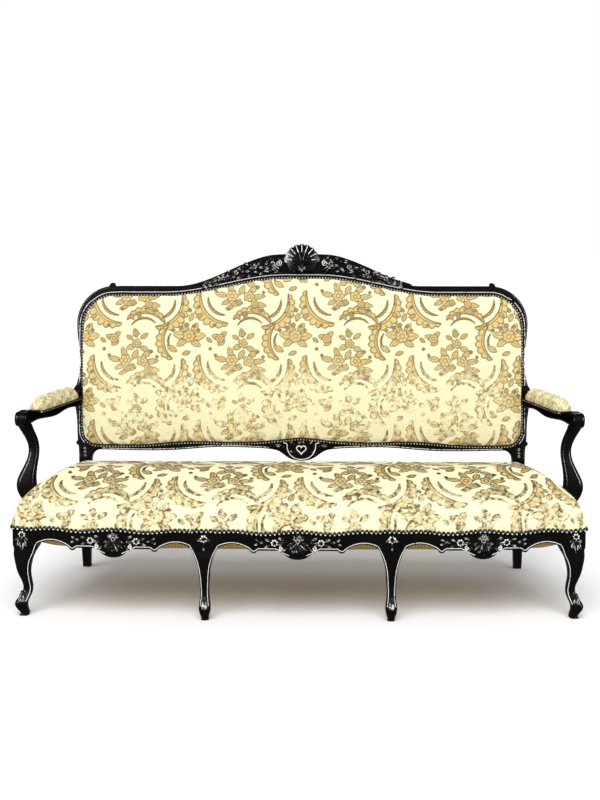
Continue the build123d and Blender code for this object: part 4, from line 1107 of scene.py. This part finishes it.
mirror = np.array((-1, 1, 1))
lines = [rail_bead(centre, half, side) for side in (1, -1)
         for centre, half in ((0, CENTRE_BAY), (BAY_CENTRE, SIDE_BAY), (-BAY_CENTRE, SIDE_BAY))]
for line in (inner_leg_edge(1), inner_leg_edge(-1), corner_leg_edge()):
    lines += [line, line * mirror]
front_beads = join("front_beads", [bead(line, radius=1.05 * MM, rub_and_highlight=1.1) for line in lines])
hand_over(front_beads, white_rub_and_highlight)
print("front beads", len(front_beads.data.polygons), "faces")

# %% Beads on the back
top_run, right_run, base_run, left_run = sight_outline(-13 * MM)
# The bead along the foot of the back stands for a highlight line on the lower rail's bottom edge: its white is
# painted highlight.
low_line = np.array([(690, 33), (600, 31), (525, 30), (422, 33), (284, 43), (181, 41), (112, 37)]) * MM
collar = np.array([(728, 273), (750, 277), (770, 275)]) * MM
back_lines = [(top_run[::4], 1.15), (right_run, 0.85), (left_run, 0.85)]
for line, rub_and_highlight in ((low_line, 0.8), (collar, 1.5)):
    back_lines += [(line, rub_and_highlight), (line * (-1, 1), rub_and_highlight)]
back_beads = join("back_beads", [bead(laid_back(line, 0.3 * MM), 1.25 * MM, rub_and_highlight) for line, rub_and_highlight in back_lines])
hand_over(back_beads, white_rub_and_highlight)
print("back beads", len(back_beads.data.polygons), "faces")

# %% [markdown]
# ## Carving
# Leaves, flowers and scrolls are carved in the solid on the real frame. Here one acanthus leaf and one flower
# are modelled flat, and copies are sized, turned and bent onto the frame's own faces in groups.


# %% Leaf and flower
def carved_leaf():
    """An acanthus leaf one unit long: lobed sides, a groove down the middle, a lifted tip."""
    bpy.ops.mesh.primitive_grid_add(x_subdivisions=12, y_subdivisions=4, size=1)
    leaf = bpy.context.object
    at = coordinates(leaf)
    t, side = at[:, 0] + 0.5, at[:, 1] * 2
    lobes = 0.72 + 0.28 * np.abs(np.sin(3.5 * pi * t))
    half = 0.30 * np.sin(pi * np.clip(t * 0.92 + 0.06, 0, 1)) ** 0.7 * lobes
    lift = np.sin(pi * t) ** 0.6 * (0.55 + 0.75 * np.abs(side) * (1 - 0.8 * np.abs(side)) * 2.2)
    lift = lift * (1 - 0.75 * (np.abs(side) > 0.9)) + 0.3 * t**3
    set_coordinates(leaf, np.stack([t, side * half, 0.16 * lift], 1))
    set_attribute(leaf, "rub_and_highlight", np.clip(lift * (0.3 + 0.7 * (np.abs(side) > 0.3)) * t**0.5, 0, 1.3))
    return close_and_face_out(leaf)


def carved_flower():
    """An open flower of unit radius: seven domed petals round a dark button."""
    bpy.ops.mesh.primitive_circle_add(vertices=30, radius=1, fill_type="TRIFAN")
    flower = bpy.context.object
    bpy.ops.object.mode_set(mode="EDIT")
    bpy.ops.mesh.select_all(action="SELECT")
    bpy.ops.mesh.subdivide(number_cuts=3)
    bpy.ops.object.mode_set(mode="OBJECT")
    at = coordinates(flower)
    r, angle = np.hypot(at[:, 0], at[:, 1]), np.arctan2(at[:, 1], at[:, 0])
    petal = np.abs(np.cos(3.5 * angle))
    reach = 0.7 + 0.3 * petal**0.6
    height = 0.35 * np.sin(pi * np.clip(r, 0, 1)) * petal + 0.30 * np.exp(-((r / 0.22) ** 2))
    set_coordinates(flower, np.stack([at[:, 0] * reach, at[:, 1] * reach, height], 1))
    set_attribute(flower, "rub_and_highlight", 1.3 * np.exp(-(((r - 0.68) / 0.24) ** 2)) * (0.55 + 0.45 * petal))
    return close_and_face_out(flower)


leaf_model, flower_model = carved_leaf(), carved_flower()
print("leaf", len(leaf_model.data.polygons), "faces, flower", len(flower_model.data.polygons))


# %% Laying carving on a face
def stamp(model, face, place, size, angle, width=1.0, lift=1.0, sink=0.6, whiten=1.0):
    """A copy of a carved model bent onto a face: place, size and sink in millimetres, turned by degrees."""
    copy = model.copy()
    copy.data = model.data.copy()
    bpy.context.collection.objects.link(copy)
    a, b, c = (coordinates(copy) * (size, size * width, size * lift)).T
    turn = radians(angle)
    across, up = place[0] + a * cos(turn) - b * sin(turn), place[1] + a * sin(turn) + b * cos(turn)
    set_coordinates(copy, face(across * MM, up * MM, (c - sink) * MM))
    # The copy's white, rubbed whitening and painted highlight together, is scaled here.
    rub_and_highlight = np.empty(len(a), np.float32)
    copy.data.attributes["rub_and_highlight"].data.foreach_get("value", rub_and_highlight)
    set_attribute(copy, "rub_and_highlight", rub_and_highlight * whiten)
    return copy


def finish_carving(name, parts):
    """Join the stamped parts of one carved group."""
    made = join(name, parts)
    bpy.ops.object.mode_set(mode="EDIT")
    face_out()
    bpy.ops.object.shade_smooth_by_angle(angle=radians(50))
    return hand_over(made, white_rub_and_highlight)


def spiral(face, place, radius, turns, hand, thickness):
    """A carved volute, in millimetres: a bead wound in to its eye from its top."""
    steps = np.linspace(0, 1, 22)
    r, angle = radius * (1 - 0.86 * steps), pi / 2 + hand * steps * turns * 2 * pi
    line = face((place[0] + r * np.cos(angle)) * MM, (place[1] + r * np.sin(angle)) * MM, 0.5 * MM)
    return bead(line, thickness * MM, 1.0)


def fan(face, place, rows, **look):
    """Leaves fanned from one place: rows of angle and size."""
    return [stamp(leaf_model, face, place, size, angle, **look) for angle, size in rows]


SIDES = ((1, 0), (-1, 180))  # right and left: the sign of x, and the angle that leads outwards


def spray(face, side, lead, rows, **look):
    """Leaves to one side: rows of place across and up, size, and tilt from straight outwards."""
    return [stamp(leaf_model, face, (side * x, v), size, lead + side * tilt, **look)
            for x, v, size, tilt in rows]


# %% Carved groups on the front rails
RAIL_FAN = ((-90, 46), (-66, 44), (-114, 44), (-42, 40), (-138, 40), (-18, 34), (-162, 34))
RAIL_SPRAY = ((34, 232, 24, -40), (38, 246, 26, -8), (40, 254, 22, 22), (82, 250, 20, 24), (84, 240, 20, -24),
              (100, 246, 18, 8), (116, 250, 16, 26), (118, 243, 16, -14))


def rail_group(name, centre):
    """The cartouche of one front rail: fanned leaves under a flower, with sprays to each side."""
    def face(across, up, out):
        return on_front(centre + across, up, out)

    parts = fan(face, (0, 250), RAIL_FAN, width=0.6, lift=0.8, whiten=0.8)
    parts += fan(face, (0, 252), [(angle, 22) for angle in range(20, 170, 26)], width=0.7)
    for side, lead in SIDES:
        parts.append(stamp(flower_model, face, (side * 71, 246), 12.5, 18))
        parts += spray(face, side, lead, RAIL_SPRAY, width=0.8)
        parts.append(spiral(face, (side * 50, 229), 7, 1.3, -side, 1.6))
    parts.append(stamp(flower_model, face, (0, 252), 9, 0, lift=1.1, sink=0))
    return finish_carving(name, parts)


carvings = [rail_group(word + "_cartouche", centre) for word, centre in (
    ("centre", 0), ("right", BAY_CENTRE), ("left", -BAY_CENTRE))]


# %% Carving on the legs
def leg_face(steps, front, middle):
    """A chart of a leg's front: across from its middle line, up in height, out to the viewer."""
    z, depth = steps[::-1, 0], steps[::-1, 2]
    return lambda across, up, out: np.stack([middle + across, front + np.interp(up, z, depth) - out, up], -1)


def inner_leg_carving(name, side):
    """Rosette and drop leaf at the head, acanthus on the toe."""
    face = leg_face(inner_leg_steps, INNER_FRONT, side * INNER_LEG)
    parts = [stamp(flower_model, face, (0, 258), 13.5, 18)]
    parts += fan(face, (0, 246), ((-90, 26),), width=0.6)
    parts += fan(face, (0, 262), ((-150, 24), (-30, 24)), width=0.6)
    for shift, angle in ((0, -90), (-4, -78), (4, -102)):
        parts += fan(face, (shift, 78), ((angle, 44),), width=0.8, lift=1.1)
    return finish_carving(name, parts)


def corner_leg_carving(name, side):
    """A flower and leaves down the knee from under the seat, and leaves on the toe."""
    face = leg_face(corner_leg_steps, CORNER_FRONT, side * (FRONT_HALF - CORNER_HEAD / 2))
    parts = [stamp(flower_model, face, (side * 8, 261), 12, 18)]
    parts += fan(face, (side * 8, 256), ((-90, 46), (-66, 36), (-114, 36), (-30, 24), (-150, 24)), width=0.7)
    toe = leg_face(corner_leg_steps, CORNER_FRONT, side * (FRONT_HALF - 22 * MM))
    for shift, angle in ((0, -90), (-3, -70), (3, -110)):
        parts += fan(toe, (shift, 78), ((angle, 34),), width=0.7)
    return finish_carving(name, parts)


for side, word in ((1, "right"), (-1, "left")):
    carvings.append(inner_leg_carving(word + "_inner_leg_carving", side))
    carvings.append(corner_leg_carving(word + "_corner_leg_carving", side))


# %% Carving on the back
SHELL_FOOT, SHELL_ROUND, SHELL_OUT = 676 * MM, 170 * MM, 16.6 * MM
EDGE_BEAD = 13  # millimetres from the sight edge to the bead inside the crest


def on_shell(x, v, w):
    """A place on the foot of the shell, which stands off the back's face."""
    return on_back(x, v, w + 13 * MM)


def crest_group():
    """Ridges on the shell and foliage down each side: small leaves at chance angles, with flowers between."""
    parts = []
    chance = np.random.default_rng(7)
    r = np.linspace(34, 59, 6) * MM
    dome = SHELL_OUT - (SHELL_ROUND - np.sqrt(SHELL_ROUND**2 - r**2))
    for angle in np.radians(range(10, 180, 20)):
        parts.append(bead(on_back(r * np.cos(angle), SHELL_FOOT + r * np.sin(angle), dome), 1.4 * MM, 0.95))
    for side, lead in SIDES:
        for step, reach in enumerate(range(70, 330, 21)):
            low, high = sight_edge(reach * MM) / MM + EDGE_BEAD, crest_edge(reach * MM) / MM
            middle, room = (high + low) / 2, (high - low) / 2
            fall = -side * 18 * ease(reach / 200)
            for up in (0.5, 0.0, -0.5):
                size, tilt, shift = chance.uniform(18, 30), chance.uniform(-40, 40), chance.uniform(-8, 8)
                place = (side * reach + shift, middle + up * room)
                parts.append(stamp(leaf_model, on_back, place, size, lead + fall + tilt, width=0.9))
            if step % 3 == 1:
                parts.append(stamp(flower_model, on_back, (side * (reach + 9), middle + 0.1 * room), 9, 36))
        parts.append(spiral(on_back, (side * 80, 672), 11, 1.5, side, 1.5))
        parts += spray(on_back, side, lead, ((66, 634, 54, 42), (40, 640, 26, 150), (88, 640, 34, 66)),
                       width=0.6, lift=1.2, sink=0)
    parts += fan(on_shell, (0, 662), ((-90, 24), (-52, 20), (-128, 20), (-16, 16), (-164, 16)), width=0.8)
    return finish_carving("crest_foliage", parts)


def low_group():
    """Bell-shaped cartouche on the lower rail with a heart in it, leaves, and specks on the posts."""
    half_bell = [(62, 53), (50, 49), (49, 36), (40, 14), (22, 0)]
    bell = np.array([(-x, v) for x, v in half_bell] + [(0, -4)] + half_bell[::-1]) * MM
    parts = [bead(laid_back(bell, 0.6 * MM), 1.5 * MM, 1.4)]
    parts += fan(on_back, (0, 50), ((90, 15), (48, 13), (132, 13), (12, 13), (168, 13)), lift=1.2, sink=0)
    angle = np.linspace(0, 2 * pi, 33)
    heart_x = 16 * np.sin(angle) ** 3 * MM
    waves = ((13, 1), (-5, 2), (-2, 3), (-1, 4))  # size and count round the heart
    heart_v = (30 + sum(size * np.cos(count * angle) for size, count in waves)) * MM
    parts.append(bead(on_back(heart_x, heart_v, 0.6 * MM), 2.0 * MM, 1.5))
    for side, lead in SIDES:
        parts += spray(on_back, side, lead, ((22, 46, 24, 40), (22, 24, 22, -10), (58, 40, 34, 8)), width=0.7)
        parts += [stamp(flower_model, on_back, (side * 747, up), 5, 18) for up in (8, 20, 32)]
    return finish_carving("heart_cartouche", parts)


carvings += [crest_group(), low_group()]
for model in (leaf_model, flower_model):
    bpy.data.objects.remove(model)
print("carvings", [(c.name, len(c.data.polygons)) for c in carvings])
